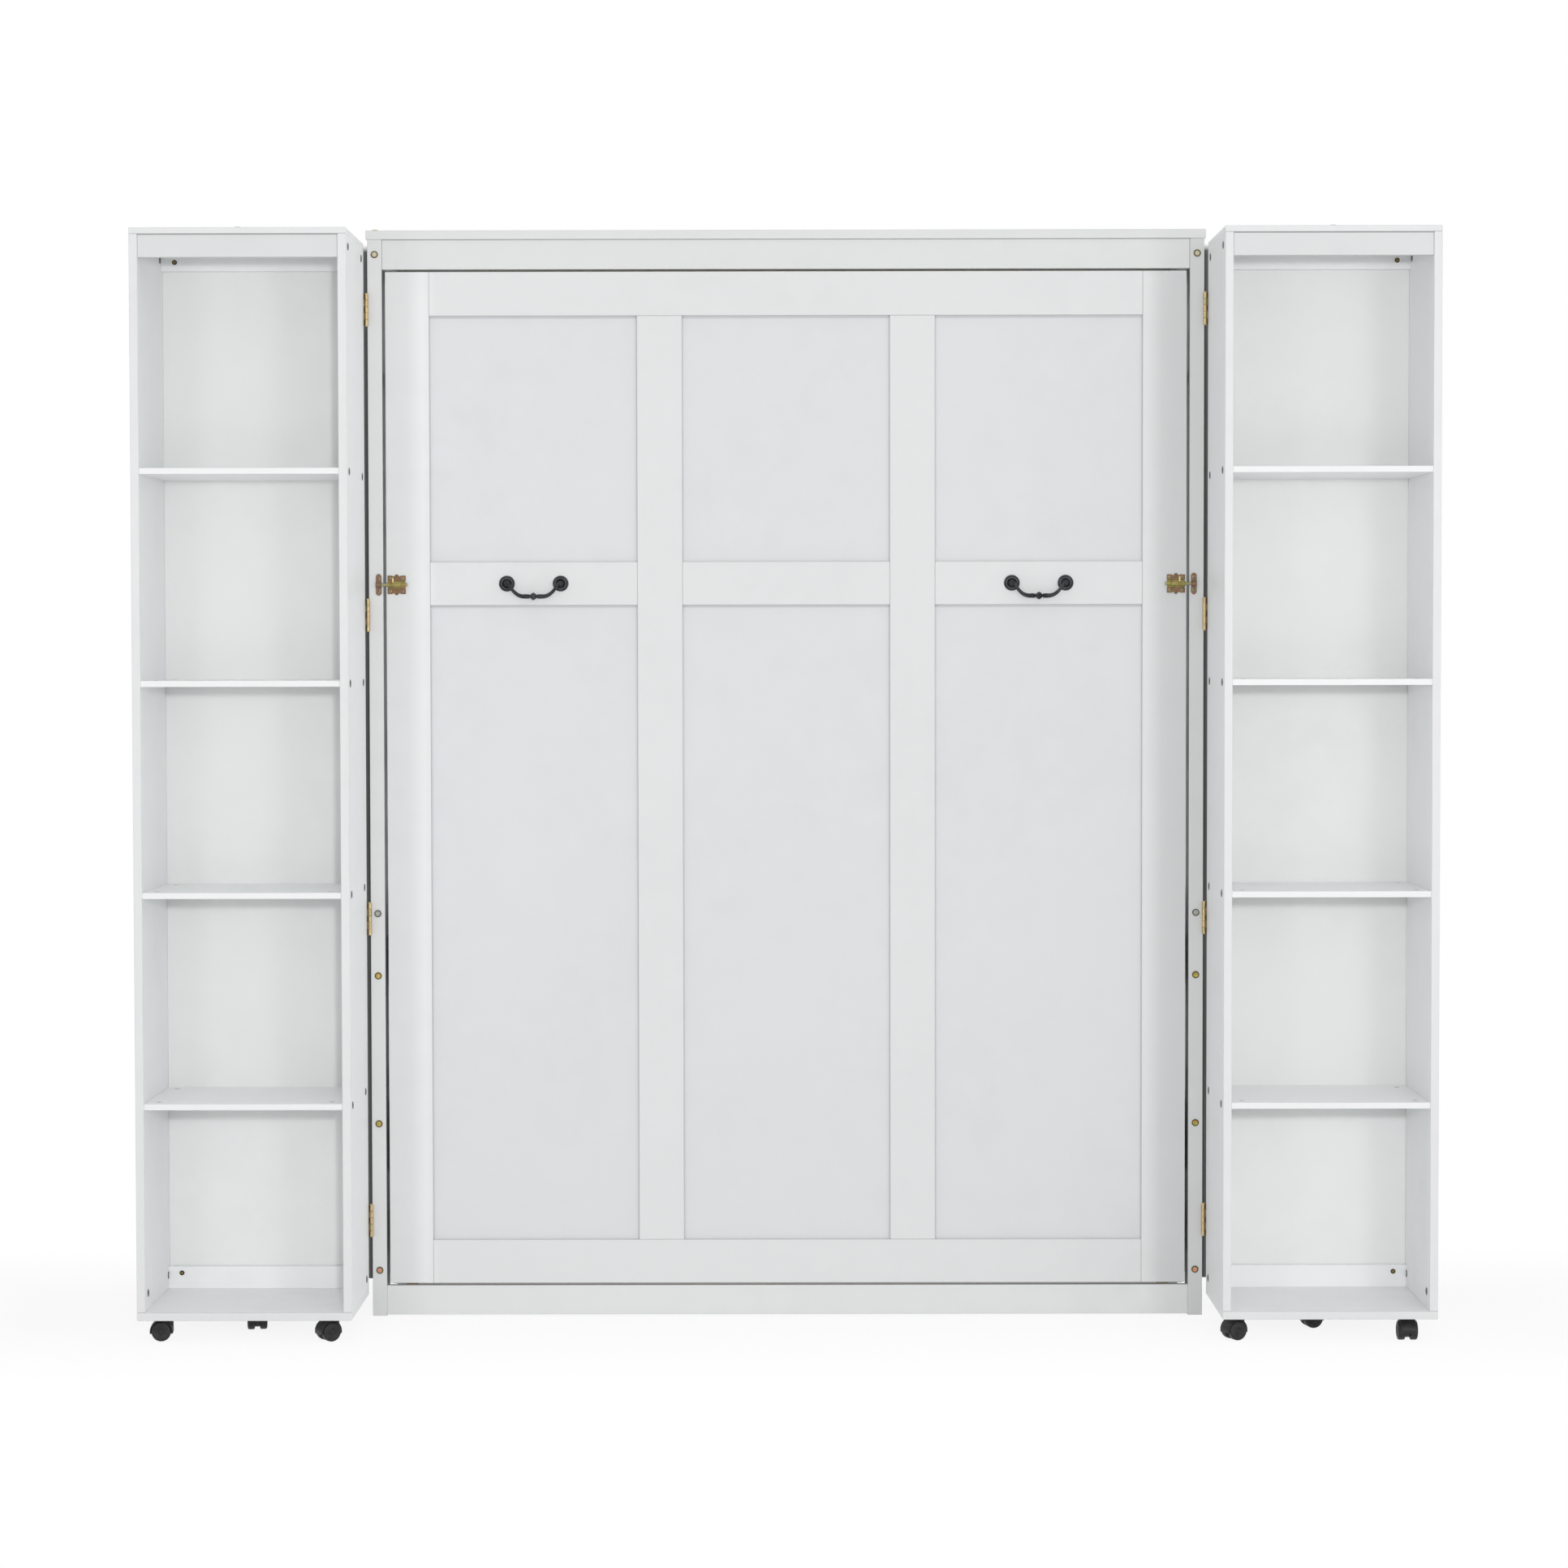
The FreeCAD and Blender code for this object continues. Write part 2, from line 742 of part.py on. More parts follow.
def pivot_arms():
    """Steel arms on the bed's rails: a bush for the pin and a stud for the strut."""
    down = plate("arm_down", slot_points(s.pivot_back, s.pivot_height, s.stud_reach,
                                         s.stud_angle, s.arm_tip_radius), s.arm_thick, box_outer, 0, 0)
    rise = plate("arm_rise", [
        (s.pivot_back + s.arm_radius, s.pivot_height, s.pivot_back, s.pivot_height, "left"),
        (s.pivot_back + s.arm_radius, s.pivot_height + s.arm_rise),
        (s.pivot_back - s.arm_radius, s.pivot_height + s.arm_rise,
         s.pivot_back, s.pivot_height + s.arm_rise, "left"),
        (s.pivot_back - s.arm_radius, s.pivot_height),
    ], s.arm_thick, box_outer, 0, 0)
    bush = cylinder("arm_bush", "x", box_outer, s.pivot_back, s.pivot_height,
                    s.bush_radius, s.bush_length)
    stud_y = s.pivot_back + s.stud_reach * sine(s.stud_angle)
    stud_z = s.pivot_height - s.stud_reach * cosine(s.stud_angle)
    stud_long = strut_centre - s.strut_eye_width / 2 - s.strut_side_gap - box_outer
    stud = cylinder("arm_stud", "x", box_outer, stud_y, stud_z, s.stud_radius, stud_long)
    solid = fuse("arm_solid", [down, rise, bush, stud])
    bore = cylinder("arm_bore", "x", box_outer, s.pivot_back, s.pivot_height,
                    s.pin_radius + s.running_gap, s.bush_length)
    right = cut("pivot_arm_right", solid, [bore])
    group("pivot_arms", [mirrored("pivot_arm_left", right), right])


def leg_bar_place():
    """Where the leg's foot bar lies when the bed is shut."""
    open_height = s.pivot_height + s.leg_back - s.pivot_back
    reach = open_height - s.leg_floor_gap - s.leg_bar_radius
    y = s.leg_back + reach * sine(s.leg_stow_angle)
    z = leg_height - reach * cosine(s.leg_stow_angle)
    return reach, y, z


def folding_leg():
    """A steel bow at the bed's foot, and the studs that it turns on."""
    arm_out = post_inner - s.leg_arm_gap
    arm_in = arm_out - s.leg_arm_thick
    reach, bar_y, bar_z = leg_bar_place()
    shape = slot_points(s.leg_back, leg_height, reach, s.leg_stow_angle, s.leg_bar_radius)
    solid = plate("leg_arm_solid", shape, s.leg_arm_thick, arm_in, 0, 0)
    bore = cylinder("leg_arm_bore", "x", arm_in, s.leg_back, leg_height,
                    s.leg_pin_radius + s.running_gap, s.leg_arm_thick)
    right = cut("leg_arm_right", solid, [bore])
    bar = cylinder("leg_bar", "x", -arm_in, bar_y, bar_z, s.leg_bar_radius, 2 * arm_in)
    group("support_leg", [mirrored("leg_arm_left", right), right, bar])
    shoulder_long = arm_in - s.leg_shoulder_gap - box_outer
    shoulder = cylinder("leg_stud_shoulder", "x", box_outer, s.leg_back, leg_height,
                        s.leg_shoulder_radius, shoulder_long)
    pin = cylinder("leg_stud_pin", "x", box_outer, s.leg_back, leg_height,
                   s.leg_pin_radius, arm_out + s.leg_pin_tip - box_outer)
    stud = fuse("leg_stud_right", [shoulder, pin])
    group("leg_studs", [mirrored("leg_stud_left", stud), stud])


# Gas struts

def gas_strut(side, sign):
    """A closed tube on the upper stud, and the rod that slides in it."""
    x = strut_centre if sign > 0 else -strut_centre
    y = s.pivot_back + s.stud_reach * sine(s.stud_angle)
    foot = s.pivot_height - s.stud_reach * cosine(s.stud_angle)
    eye_x = x - s.strut_eye_width / 2
    bore = s.strut_tube_radius - s.strut_wall
    tube_low = s.strut_top - s.strut_tube_length
    neck = cylinder(f"tube_neck_{side}", "z", x, y, s.strut_top - s.strut_neck,
                    s.strut_rod_radius, s.strut_neck)
    eye = cylinder(f"tube_eye_{side}", "x", eye_x, y, s.strut_top,
                   s.strut_eye_radius, s.strut_eye_width)
    barrel = cylinder(f"tube_barrel_{side}", "z", x, y, tube_low, s.strut_tube_radius,
                      s.strut_tube_length - s.strut_neck)
    solid = fuse(f"tube_solid_{side}", [neck, eye, barrel])
    hollow_low = tube_low + s.strut_gland
    hollow_tall = s.strut_tube_length - s.strut_neck - s.strut_gland - s.strut_wall
    hollow = cylinder(f"tube_hollow_{side}", "z", x, y, hollow_low, bore, hollow_tall)
    mouth = cylinder(f"tube_mouth_{side}", "z", x, y, tube_low,
                     s.strut_rod_radius + s.running_gap, s.strut_gland)
    eye_bore = cylinder(f"tube_eye_bore_{side}", "x", eye_x, y, s.strut_top,
                        s.strut_pin_radius + s.running_gap, s.strut_eye_width)
    node(f"{side}_strut_tube", cut(f"tube_{side}", solid, [fuse(f"tube_bore_{side}", [hollow, mouth]),
                                                          eye_bore]))
    rod = cylinder(f"rod_bar_{side}", "z", x, y, foot, s.strut_rod_radius, s.strut_rod_length)
    piston = cylinder(f"rod_piston_{side}", "z", x, y, foot + s.strut_rod_length - s.strut_piston,
                      bore - s.running_gap, s.strut_piston)
    rod_eye = cylinder(f"rod_eye_{side}", "x", eye_x, y, foot, s.strut_eye_radius, s.strut_eye_width)
    rod_bore = cylinder(f"rod_eye_bore_{side}", "x", eye_x, y, foot,
                        s.strut_pin_radius + s.running_gap, s.strut_eye_width)
    rod_solid = fuse(f"rod_solid_{side}", [rod, piston, rod_eye])
    node(f"{side}_strut_rod", cut(f"rod_{side}", rod_solid, [rod_bore]))


# Handles

def rose(name, x):
    """A stepped round rose with a ball boss, bored across for the bail's pin."""
    stand = s.bail_stand
    shape = [
        (0, 0),
        (s.rose_radius, 0),
        (s.rose_radius, -s.rose_rim),
        (s.rose_ring_radius, -s.rose_ring_height),
        (s.rose_dome_radius, -s.rose_ring_height),
        (s.boss_neck_radius, -s.rose_dome_height),
        (s.boss_neck_radius, -stand),
        (0, -stand),
    ]
    base = turned(f"{name}_base", shape, "V_Axis", "XY_Plane", x, 0, s.mid_rail_centre)
    ball = doc.addObject("Part::Sphere", f"{name}_ball")
    bind(ball, "Radius", s.boss_radius)
    place(ball, x, -stand, s.mid_rail_centre)
    bore = cylinder(f"{name}_bore", "x", x - s.boss_radius, -stand, s.mid_rail_centre,
                    s.bail_pin_radius + s.running_gap, 2 * s.boss_radius)
    return cut(name, fuse(f"{name}_solid", [base, ball]), [bore])


def bail(side, centre):
    """A drop bail: pins in the bosses, bent arms and a turned grip with a bead."""
    half = s.rose_spacing / 2
    slope = s.bail_slope
    elbow_run = s.bail_elbow * sine(slope)
    elbow_drop = s.bail_elbow - s.bail_elbow * cosine(slope)
    bend_run = s.bail_bend * sine(slope)
    bend_drop = s.bail_bend - s.bail_bend * cosine(slope)
    straight_drop = s.bail_drop - elbow_drop - bend_drop
    straight_run = straight_drop * cosine(slope) / sine(slope)
    pin_end = half - s.boss_radius
    grip_end = pin_end - elbow_run - straight_run - bend_run
    body = doc.addObject("PartDesign::Body", f"{side}_bail_arm_body")
    route = outline(body, "XZ_Plane", f"{side}_bail_route", [
        (pin_end + s.bail_pin_depth, 0),
        (pin_end, 0),
        (pin_end - elbow_run, -elbow_drop, pin_end, -s.bail_elbow, "left"),
        (grip_end + bend_run, bend_drop - s.bail_drop),
        (grip_end, -s.bail_drop, grip_end, s.bail_bend - s.bail_drop, "right"),
    ], closed=False)
    section = body.newObject("Sketcher::SketchObject", f"{side}_bail_section")
    section.AttachmentSupport = [(origin_plane(body, "YZ_Plane"), "")]
    section.MapMode = "FlatFace"
    section.setExpression("AttachmentOffset.Base.z", (pin_end + s.bail_pin_depth).formula)
    section.addGeometry(Part.Circle(ORIGIN, UP, s.bail_rod_radius.number))
    section.addConstraint(Sketcher.Constraint("Coincident", 0, 3, -1, 1))
    index = section.addConstraint(Sketcher.Constraint("Radius", 0, s.bail_rod_radius.number))
    section.renameConstraint(index, "rod")
    bind(section, "Constraints.rod", s.bail_rod_radius)
    pipe = body.newObject("PartDesign::AdditivePipe", f"{side}_bail_pipe")
    pipe.Profile = section
    pipe.Spine = (route, [])
    body.Tip = pipe
    arm = place(body, 0, -s.bail_stand, s.mid_rail_centre)
    collar_in = s.bail_collar_half - s.bail_collar_width
    right_half = [
        (s.bail_bead_half / 2, s.bail_bead_radius * BEAD_SHOULDER_SHARE),
        (s.bail_bead_half, s.bail_waist_radius),
        (collar_in, s.bail_waist_radius),
        (collar_in, s.bail_collar_radius),
        (s.bail_collar_half, s.bail_collar_radius),
        (s.bail_collar_half, s.bail_grip_radius),
        (grip_end, s.bail_rod_radius),
    ]
    upper = [(0, s.bail_bead_radius)] + right_half
    left_half = [(-u, v) for u, v in reversed(right_half)]
    shape = [(-grip_end, 0), (grip_end, 0)] + list(reversed(upper)) + list(reversed(left_half))
    grip = turned(f"{side}_bail_grip", shape, "H_Axis", "XZ_Plane",
                  0, -s.bail_stand, s.mid_rail_centre - s.bail_drop)
    whole = fuse(f"{side}_bail_whole", [arm, mirrored(f"{side}_bail_arm_far", arm), grip])
    moved = doc.addObject("Part::Compound", f"{side}_bail_moved")
    moved.Links = [whole]
    bind(moved, "Placement.Base.x", centre)
    return node(f"{side}_handle_bail", moved)


def handles(column_centre):
    roses = []
    for side, sign in SIDES:
        centre = column_centre if sign > 0 else -column_centre
        half = s.rose_spacing / 2
        roses.append(rose(f"{side}_rose_a", centre - half))
        roses.append(rose(f"{side}_rose_b", centre + half))
        bail(side, centre)
    group("handle_roses", roses)


# Barrel bolts

def rounded_rectangle(wide, tall, radius):
    """Corner points of a rectangle with round corners, from the middle of its base."""
    half = wide / 2
    return [
        (half - radius, 0),
        (half, radius, half - radius, radius, "left"),
        (half, tall - radius),
        (half - radius, tall, half - radius, tall - radius, "left"),
        (radius - half, tall),
        (-half, tall - radius, radius - half, tall - radius, "left"),
        (-half, radius),
        (radius - half, 0, radius - half, radius, "left"),
    ]


def latches():
    """Right-hand barrel bolt and keeper, mirrored for the left."""
    plate_high = half_door - s.latch_inset
    plate_low = plate_high - s.latch_plate_width
    axis_y = -s.barrel_radius
    flat = plate("latch_flat", rounded_rectangle(s.latch_plate_width, s.latch_plate_height, s.latch_corner),
                 s.latch_plate_thick, (plate_low + plate_high) / 2, 0,
                 s.latch_height - s.latch_plate_height / 2, "XZ_Plane")
    barrel = cylinder("latch_barrel", "x", plate_low, axis_y, s.latch_height,
                      s.barrel_radius, s.latch_plate_width)
    bore = cylinder("latch_bore", "x", plate_low, axis_y, s.latch_height,
                    s.rod_radius + s.running_gap, s.latch_plate_width)
    knob_high = plate_high - s.knob_offset
    knob_low = knob_high - s.knob_width
    slot_low = knob_low - s.latch_travel - s.knob_side_gap
    slot_wide = knob_high + s.knob_side_gap - slot_low
    slot = box("latch_slot", slot_low, axis_y - s.knob_thick, s.latch_height,
               slot_wide, 2 * s.knob_thick, s.knob_height)
    right = cut("latch_plate_right", fuse("latch_solid", [flat, barrel]), [bore, slot])
    group("latch_plates", [mirrored("latch_plate_left", right), right])
    keeper_low = post_inner + s.keeper_inset
    keeper_flat = plate("keeper_flat", rounded_rectangle(s.keeper_width, s.keeper_height,
                                                         s.keeper_width * KEEPER_ROUND_SHARE),
                        s.latch_plate_thick, keeper_low + s.keeper_width / 2, 0,
                        s.latch_height - s.keeper_height / 2, "XZ_Plane")
    strap = cylinder("keeper_strap", "x", keeper_low, axis_y, s.latch_height,
                     s.barrel_radius, s.keeper_width)
    hole = cylinder("keeper_hole", "x", keeper_low, axis_y, s.latch_height,
                    s.keeper_bore_radius, s.keeper_width)
    keeper = cut("keeper_right", fuse("keeper_solid", [keeper_flat, strap]), [hole])
    group("latch_keepers", [mirrored("keeper_left", keeper), keeper])
    rod_low = plate_low - s.rod_tail
    body = doc.addObject("PartDesign::Body", "latch_rod_body")
    bar = body.newObject("PartDesign::AdditiveCylinder", "latch_rod_bar")
    bind(bar, "Radius", s.rod_radius)
    bind(bar, "Height", s.rod_length)
    ease = body.newObject("PartDesign::Chamfer", "latch_rod_ease")
    ease.Base = (bar, ["Edge1"])
    ease.UseAllEdges = True
    bind(ease, "Size", s.rod_tip_ease)
    body.Tip = ease
    body.Placement = FreeCAD.Placement(ORIGIN, ALONG["x"])
    place(body, rod_low, axis_y, s.latch_height)
    knob = box("latch_knob", knob_low, axis_y - s.knob_thick / 2, s.latch_height,
               s.knob_width, s.knob_thick, s.knob_height)
    bolt = node("right_latch_bolt", fuse("latch_bolt_solid", [body, knob]))
    node("left_latch_bolt", mirrored("latch_bolt_far", bolt))


# Butt hinges

def butt_hinge(side, sign, index):
    """One hinge: a leaf with three knuckles and the pin, and a leaf with two."""
    low = s.hinge_first + s.hinge_pitch * index - s.hinge_height / 2
    axis_x = half_cabinet + s.hinge_axis_out
    axis_y = -s.hinge_axis_front
    step = s.hinge_height / s.knuckle_count
    name = f"hinge_{side}_{index}"
    start_y = s.leaf_start - s.hinge_axis_front
    start_x = axis_x + s.leaf_start
    post_leaf = [box(f"{name}_leaf", half_cabinet, start_y, low,
                     s.leaf_thick, s.leaf_width, s.hinge_height)]
    case_leaf = [box(f"{name}_flap", start_x, -s.case_gap, low,
                     s.leaf_width, s.leaf_thick, s.hinge_height)]
    for turn in range(int(SIZES["knuckle_count"])):
        knuckle_low = low + step * turn + s.knuckle_gap / 2
        tall = step - s.knuckle_gap
        fixed = turn % 2 == 0
        round_bar = cylinder(f"{name}_knuckle_{turn}", "z", axis_x, axis_y, knuckle_low,
                             s.knuckle_radius, tall)
        if fixed:
            web = box(f"{name}_web_{turn}", half_cabinet, axis_y, knuckle_low,
                      s.leaf_thick, s.leaf_start, tall)
            post_leaf += [round_bar, web]
        else:
            web = box(f"{name}_web_{turn}", axis_x, -s.case_gap, knuckle_low,
                      s.leaf_start, s.leaf_thick, tall)
            case_leaf += [round_bar, web]
    pin = cylinder(f"{name}_pin", "z", axis_x, axis_y, low + s.knuckle_gap / 2,
                   s.hinge_pin_radius, s.hinge_height - s.knuckle_gap)
    hole = cylinder(f"{name}_hole", "z", axis_x, axis_y, low,
                    s.hinge_pin_radius + s.running_gap, s.hinge_height)
    fixed_leaf = fuse(f"{name}_post_leaf", post_leaf + [pin])
    moving_leaf = cut(f"{name}_case_leaf", fuse(f"{name}_case_solid", case_leaf), [hole])
    if sign > 0:
        return fixed_leaf, moving_leaf
    return mirrored(f"{name}_post_far", fixed_leaf), mirrored(f"{name}_case_far", moving_leaf)


def hinges():
    fixed = []
    for side, sign in SIDES:
        moving = []
        for index in range(int(SIZES["hinge_count"])):
            pair = butt_hinge(side, sign, index)
            fixed.append(pair[0])
            moving.append(pair[1])
        group(f"{side}_case_hinges", moving)
    group("post_hinges", fixed)


# Bookcases

def caster_places(side, sign):
    """Name, x, depth and turn of each caster under one bookcase."""
    front = -s.case_gap - s.case_depth + s.caster_inset_front
    back = -s.case_gap - s.caster_inset_back
    outer = case_inner + s.case_width - s.caster_inset_outer
    inner = case_inner + s.caster_inset_inner
    middle = case_inner + s.case_width / 2
    turns = {
        "outer": getattr(s, f"{side}_outer_turn"),
        "inner": getattr(s, f"{side}_inner_turn"),
        "back": getattr(s, f"{side}_back_turn"),
    }
    places = (("outer", outer, front), ("inner", inner, front), ("back", middle, back))
    return [(spot, x if sign > 0 else -x, y, turns[spot]) for spot, x, y in places]


def bookcase(side, sign):
    near, far = case_inner, case_inner + s.case_width
    low_x = side_low(sign, near, far)
    front = -s.case_gap - s.case_depth
    wall_low = case_base + s.case_base_thick
    wall_high = case_top - s.case_top_thick
    wall_tall = wall_high - wall_low
    inside = s.case_width - 2 * s.case_wall
    inside_x = low_x + s.case_wall
    back_front = -s.case_gap - s.case_back_thick
    name = f"{side}_case"
    group(f"{name}_sides", [
        board(f"{name}_side_a", low_x, front, wall_low, s.case_wall, s.case_depth, wall_tall),
        board(f"{name}_side_b", low_x + s.case_width - s.case_wall, front, wall_low,
              s.case_wall, s.case_depth, wall_tall),
    ])
    top = board(f"{name}_top", low_x, front, wall_high, s.case_width, s.case_depth, s.case_top_thick)
    base = board(f"{name}_base", low_x, front, case_base, s.case_width, s.case_depth, s.case_base_thick)
    places = caster_places(side, sign)
    holes = [cylinder(f"{name}_hole_{spot}", "z", x, y, case_base, s.socket_radius, s.socket_length)
             for spot, x, y, _ in places]
    group(f"{name}_ends", [top, cut(f"{name}_base_bored", base, holes)])
    node(f"{name}_back", board(f"{name}_back", inside_x, back_front, wall_low,
                               inside, s.case_back_thick, wall_tall))
    shelf_front = front + s.shelf_recess
    shelves = []
    for index in range(int(SIZES["shelf_count"])):
        low = case_base + s.shelf_first + s.shelf_pitch * index - s.shelf_thick / 2
        shelves.append(board(f"{name}_shelf_{index}", inside_x, shelf_front, low,
                             inside, back_front - shelf_front, s.shelf_thick))
    group(f"{name}_shelves", shelves)
    cleat_y = back_front - s.cleat_thick
    rail_high = wall_high - s.cleat_height
    group(f"{name}_rails", [
        board(f"{name}_valance", inside_x, front + s.valance_recess, rail_high,
              inside, s.cleat_thick, s.cleat_height),
        board(f"{name}_cleat_high", inside_x, cleat_y, rail_high, inside, s.cleat_thick, s.cleat_height),
        board(f"{name}_cleat_low", inside_x, cleat_y, wall_low, inside, s.cleat_thick, s.cleat_height),
    ])
    sockets = []
    for spot, x, y, turn in places:
        sleeve = cylinder(f"{name}_sleeve_{spot}", "z", x, y, case_base, s.socket_radius, s.socket_length)
        bore = cylinder(f"{name}_bore_{spot}", "z", x, y, case_base,
                        s.stem_radius + s.running_gap, s.socket_length)
        sockets.append(cut(f"{name}_socket_{spot}", sleeve, [bore]))
        caster(f"{side}_{spot}", x, y, turn)
    group(f"{name}_sockets", sockets)


# Casters

def caster(name, x, y, turn):
    """A hooded twin-wheel caster: a swivelling hood with its stem, and two wheels on an axle."""
    wheel_x = x - s.caster_trail * cosine(turn)
    wheel_y = y - s.caster_trail * sine(turn)
    width = s.wheel_half - s.wheel_inner
    shoulder = s.wheel_half - s.wheel_round
    edge = s.wheel_radius - s.wheel_bulge
    half_shape = [
        (0, s.wheel_half),
        (edge, s.wheel_half - s.wheel_round * WHEEL_EASE_SHARE),
        (s.wheel_radius - s.wheel_bulge * WHEEL_EASE_SHARE,
         shoulder + s.wheel_round * WHEEL_EASE_SHARE),
        (s.wheel_radius, s.wheel_half - width * WHEEL_EASE_SHARE),
        (s.wheel_radius, s.wheel_inner),
        (s.axle_radius, s.wheel_inner),
    ]
    shape = half_shape + [(u, -v) for u, v in reversed(half_shape)]
    node(f"{name}_wheels", turned(f"{name}_wheels", shape, "V_Axis", "XY_Plane",
                                  wheel_x, wheel_y, s.wheel_radius, turn))
    hood = fuse(f"{name}_hood_outer", [
        lying_bar(f"{name}_hood_drum", wheel_x, wheel_y, turn, s.hood_radius, s.hood_half),
        cylinder(f"{name}_hood_block", "z", x, y, s.wheel_radius, s.block_radius,
                 s.hood_radius + s.block_rise - s.hood_wall),
    ])
    inner = s.hood_radius - s.hood_wall
    hollow = lying_bar(f"{name}_hood_hollow", wheel_x, wheel_y, turn, inner, s.wheel_half)
    shell = cut(f"{name}_hood_shell", hood, [hollow])
    web = lying_bar(f"{name}_hood_web", wheel_x, wheel_y, turn, s.hood_radius - s.hood_wall / 2, s.web_half)
    neck_low = s.wheel_radius + inner
    neck = cylinder(f"{name}_neck", "z", x, y, neck_low, s.neck_radius, s.case_lift - neck_low)
    stem = cylinder(f"{name}_stem", "z", x, y, neck_low, s.stem_radius,
                    s.case_lift + s.stem_length - neck_low)
    solid = fuse(f"{name}_hood_solid", [shell, web, neck, stem])
    half_span = s.hood_radius + s.hood_wall
    skirt = doc.addObject("Part::Box", f"{name}_hood_skirt")
    bind(skirt, "Length", 2 * half_span)
    bind(skirt, "Width", 2 * half_span)
    bind(skirt, "Height", half_span - s.hood_drop)
    place(skirt, wheel_x - half_span * cosine(turn) + half_span * sine(turn),
          wheel_y - half_span * sine(turn) - half_span * cosine(turn),
          s.wheel_radius - half_span, turn)
    axle_bore = lying_bar(f"{name}_axle_bore", wheel_x, wheel_y, turn,
                          s.axle_radius + s.running_gap, s.web_half)
    node(f"{name}_hood", cut(f"{name}_hood_cut", solid, [skirt, axle_bore]))


def lying_bar(name, x, y, turn, radius, half):
    """A round bar centred on a caster's axle."""
    return turned(name, [(0, -half), (radius, -half), (radius, half), (0, half)],
                  "V_Axis", "XY_Plane", x, y, s.wheel_radius, turn)


cabinet_boards()
cabinet_posts()
side_boards("lower_side_boards", s.plinth_height, s.lower_board_height)
side_boards("middle_side_boards", s.middle_board_low, s.middle_board_height)
side_boards("upper_side_rails", under_header, s.header_height)
rear_rails()
frame_bolts()
pivot_plates()
strut_brackets()
handle_centre = bed_front()
bed_box()
bed_base()
pivot_arms()
folding_leg()
handles(handle_centre)
latches()
hinges()
for side, sign in SIDES:
    gas_strut(side, sign)
    bookcase(side, sign)

doc.recompute()
for item in doc.Objects:
    if "Invalid" in item.State or "Error" in item.State:
        raise RuntimeError(f"{item.Name} failed: {item.State}")
for item in nodes:
    if item.Shape.isNull() or not item.Shape.isValid() or not item.Shape.Solids:
        raise RuntimeError(f"{item.Label} has no sound shape")
for item in nodes:
    item.Shape.exportStep(f"parts/{item.Label}.step")
print(f"{len(nodes)} sub-parts")
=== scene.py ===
import json
from math import atan2, cos, pi, radians, sin

import bpy
from bpy.props import FloatProperty, FloatVectorProperty, PointerProperty
from mathutils import Matrix, Vector


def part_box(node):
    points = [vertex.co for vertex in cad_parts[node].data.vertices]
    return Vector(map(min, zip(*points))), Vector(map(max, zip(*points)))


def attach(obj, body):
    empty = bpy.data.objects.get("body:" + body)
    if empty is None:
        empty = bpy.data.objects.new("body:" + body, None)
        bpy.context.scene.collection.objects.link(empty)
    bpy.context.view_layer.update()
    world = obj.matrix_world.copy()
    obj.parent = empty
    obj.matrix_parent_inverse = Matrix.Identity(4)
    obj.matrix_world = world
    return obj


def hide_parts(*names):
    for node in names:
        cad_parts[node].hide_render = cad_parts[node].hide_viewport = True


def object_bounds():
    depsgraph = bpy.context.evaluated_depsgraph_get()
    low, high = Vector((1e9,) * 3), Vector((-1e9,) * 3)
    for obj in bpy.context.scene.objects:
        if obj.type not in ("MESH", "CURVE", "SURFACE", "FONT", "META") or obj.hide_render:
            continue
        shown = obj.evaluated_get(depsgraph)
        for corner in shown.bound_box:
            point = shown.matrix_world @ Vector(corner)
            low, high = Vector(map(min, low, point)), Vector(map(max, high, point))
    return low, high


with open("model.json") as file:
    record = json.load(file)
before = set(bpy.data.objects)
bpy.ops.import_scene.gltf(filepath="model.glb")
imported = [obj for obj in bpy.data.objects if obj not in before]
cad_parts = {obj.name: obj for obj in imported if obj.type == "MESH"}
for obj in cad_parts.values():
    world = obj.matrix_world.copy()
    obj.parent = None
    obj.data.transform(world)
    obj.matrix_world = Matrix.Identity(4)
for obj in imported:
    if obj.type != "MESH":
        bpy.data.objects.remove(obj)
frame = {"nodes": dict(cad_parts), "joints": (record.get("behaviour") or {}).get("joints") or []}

CAD_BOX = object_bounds()

bl_info = {
    "name": "Wall bed",
    "version": (1, 0, 0),
    "blender": (4, 5, 0),
    "location": "View3D > Sidebar > Wall bed",
    "description": "Finishes and fittings of a fold-down wall bed with swing-out bookcases",
    "category": "Add Mesh",
}

# Sizes of single boards, which the frame gives only together. Lengths are in metres.
MM = 0.001
CASE_WALL = 16 * MM
SHELF_THICK, SHELF_COUNT = 12 * MM, 4
SLAT_WIDE, SLAT_COUNT = 70 * MM, 13
MULLION_WIDE = 91 * MM
MIDDLE_RAIL_HALF = 43.5 * MM

# Places that several pieces share, read from the frame.
SIDES = (("left", -1), ("right", 1))
JOINTS = {joint["name"]: joint for joint in frame["joints"]}
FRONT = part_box("door_stiles")[0].y
POST_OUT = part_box("front_posts")[1].x
POST_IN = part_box("header_board")[1].x
POST_MID = (POST_OUT + POST_IN) / 2
HEADER_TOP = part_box("header_board")[1].z
CASE_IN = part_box("right_case_ends")[0].x
CASE_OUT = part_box("right_case_ends")[1].x
CASE_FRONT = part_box("right_case_ends")[0].y
CASE_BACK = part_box("right_case_ends")[1].y
MULLION_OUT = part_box("door_mullions")[1].x
MULLION_IN = MULLION_OUT - MULLION_WIDE
RAIL_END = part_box("door_rails")[1].x
RAIL_LOW, RAIL_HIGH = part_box("door_mullions")[0].z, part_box("door_mullions")[1].z
HANDLE_Z = (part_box("handle_roses")[0].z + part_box("handle_roses")[1].z) / 2
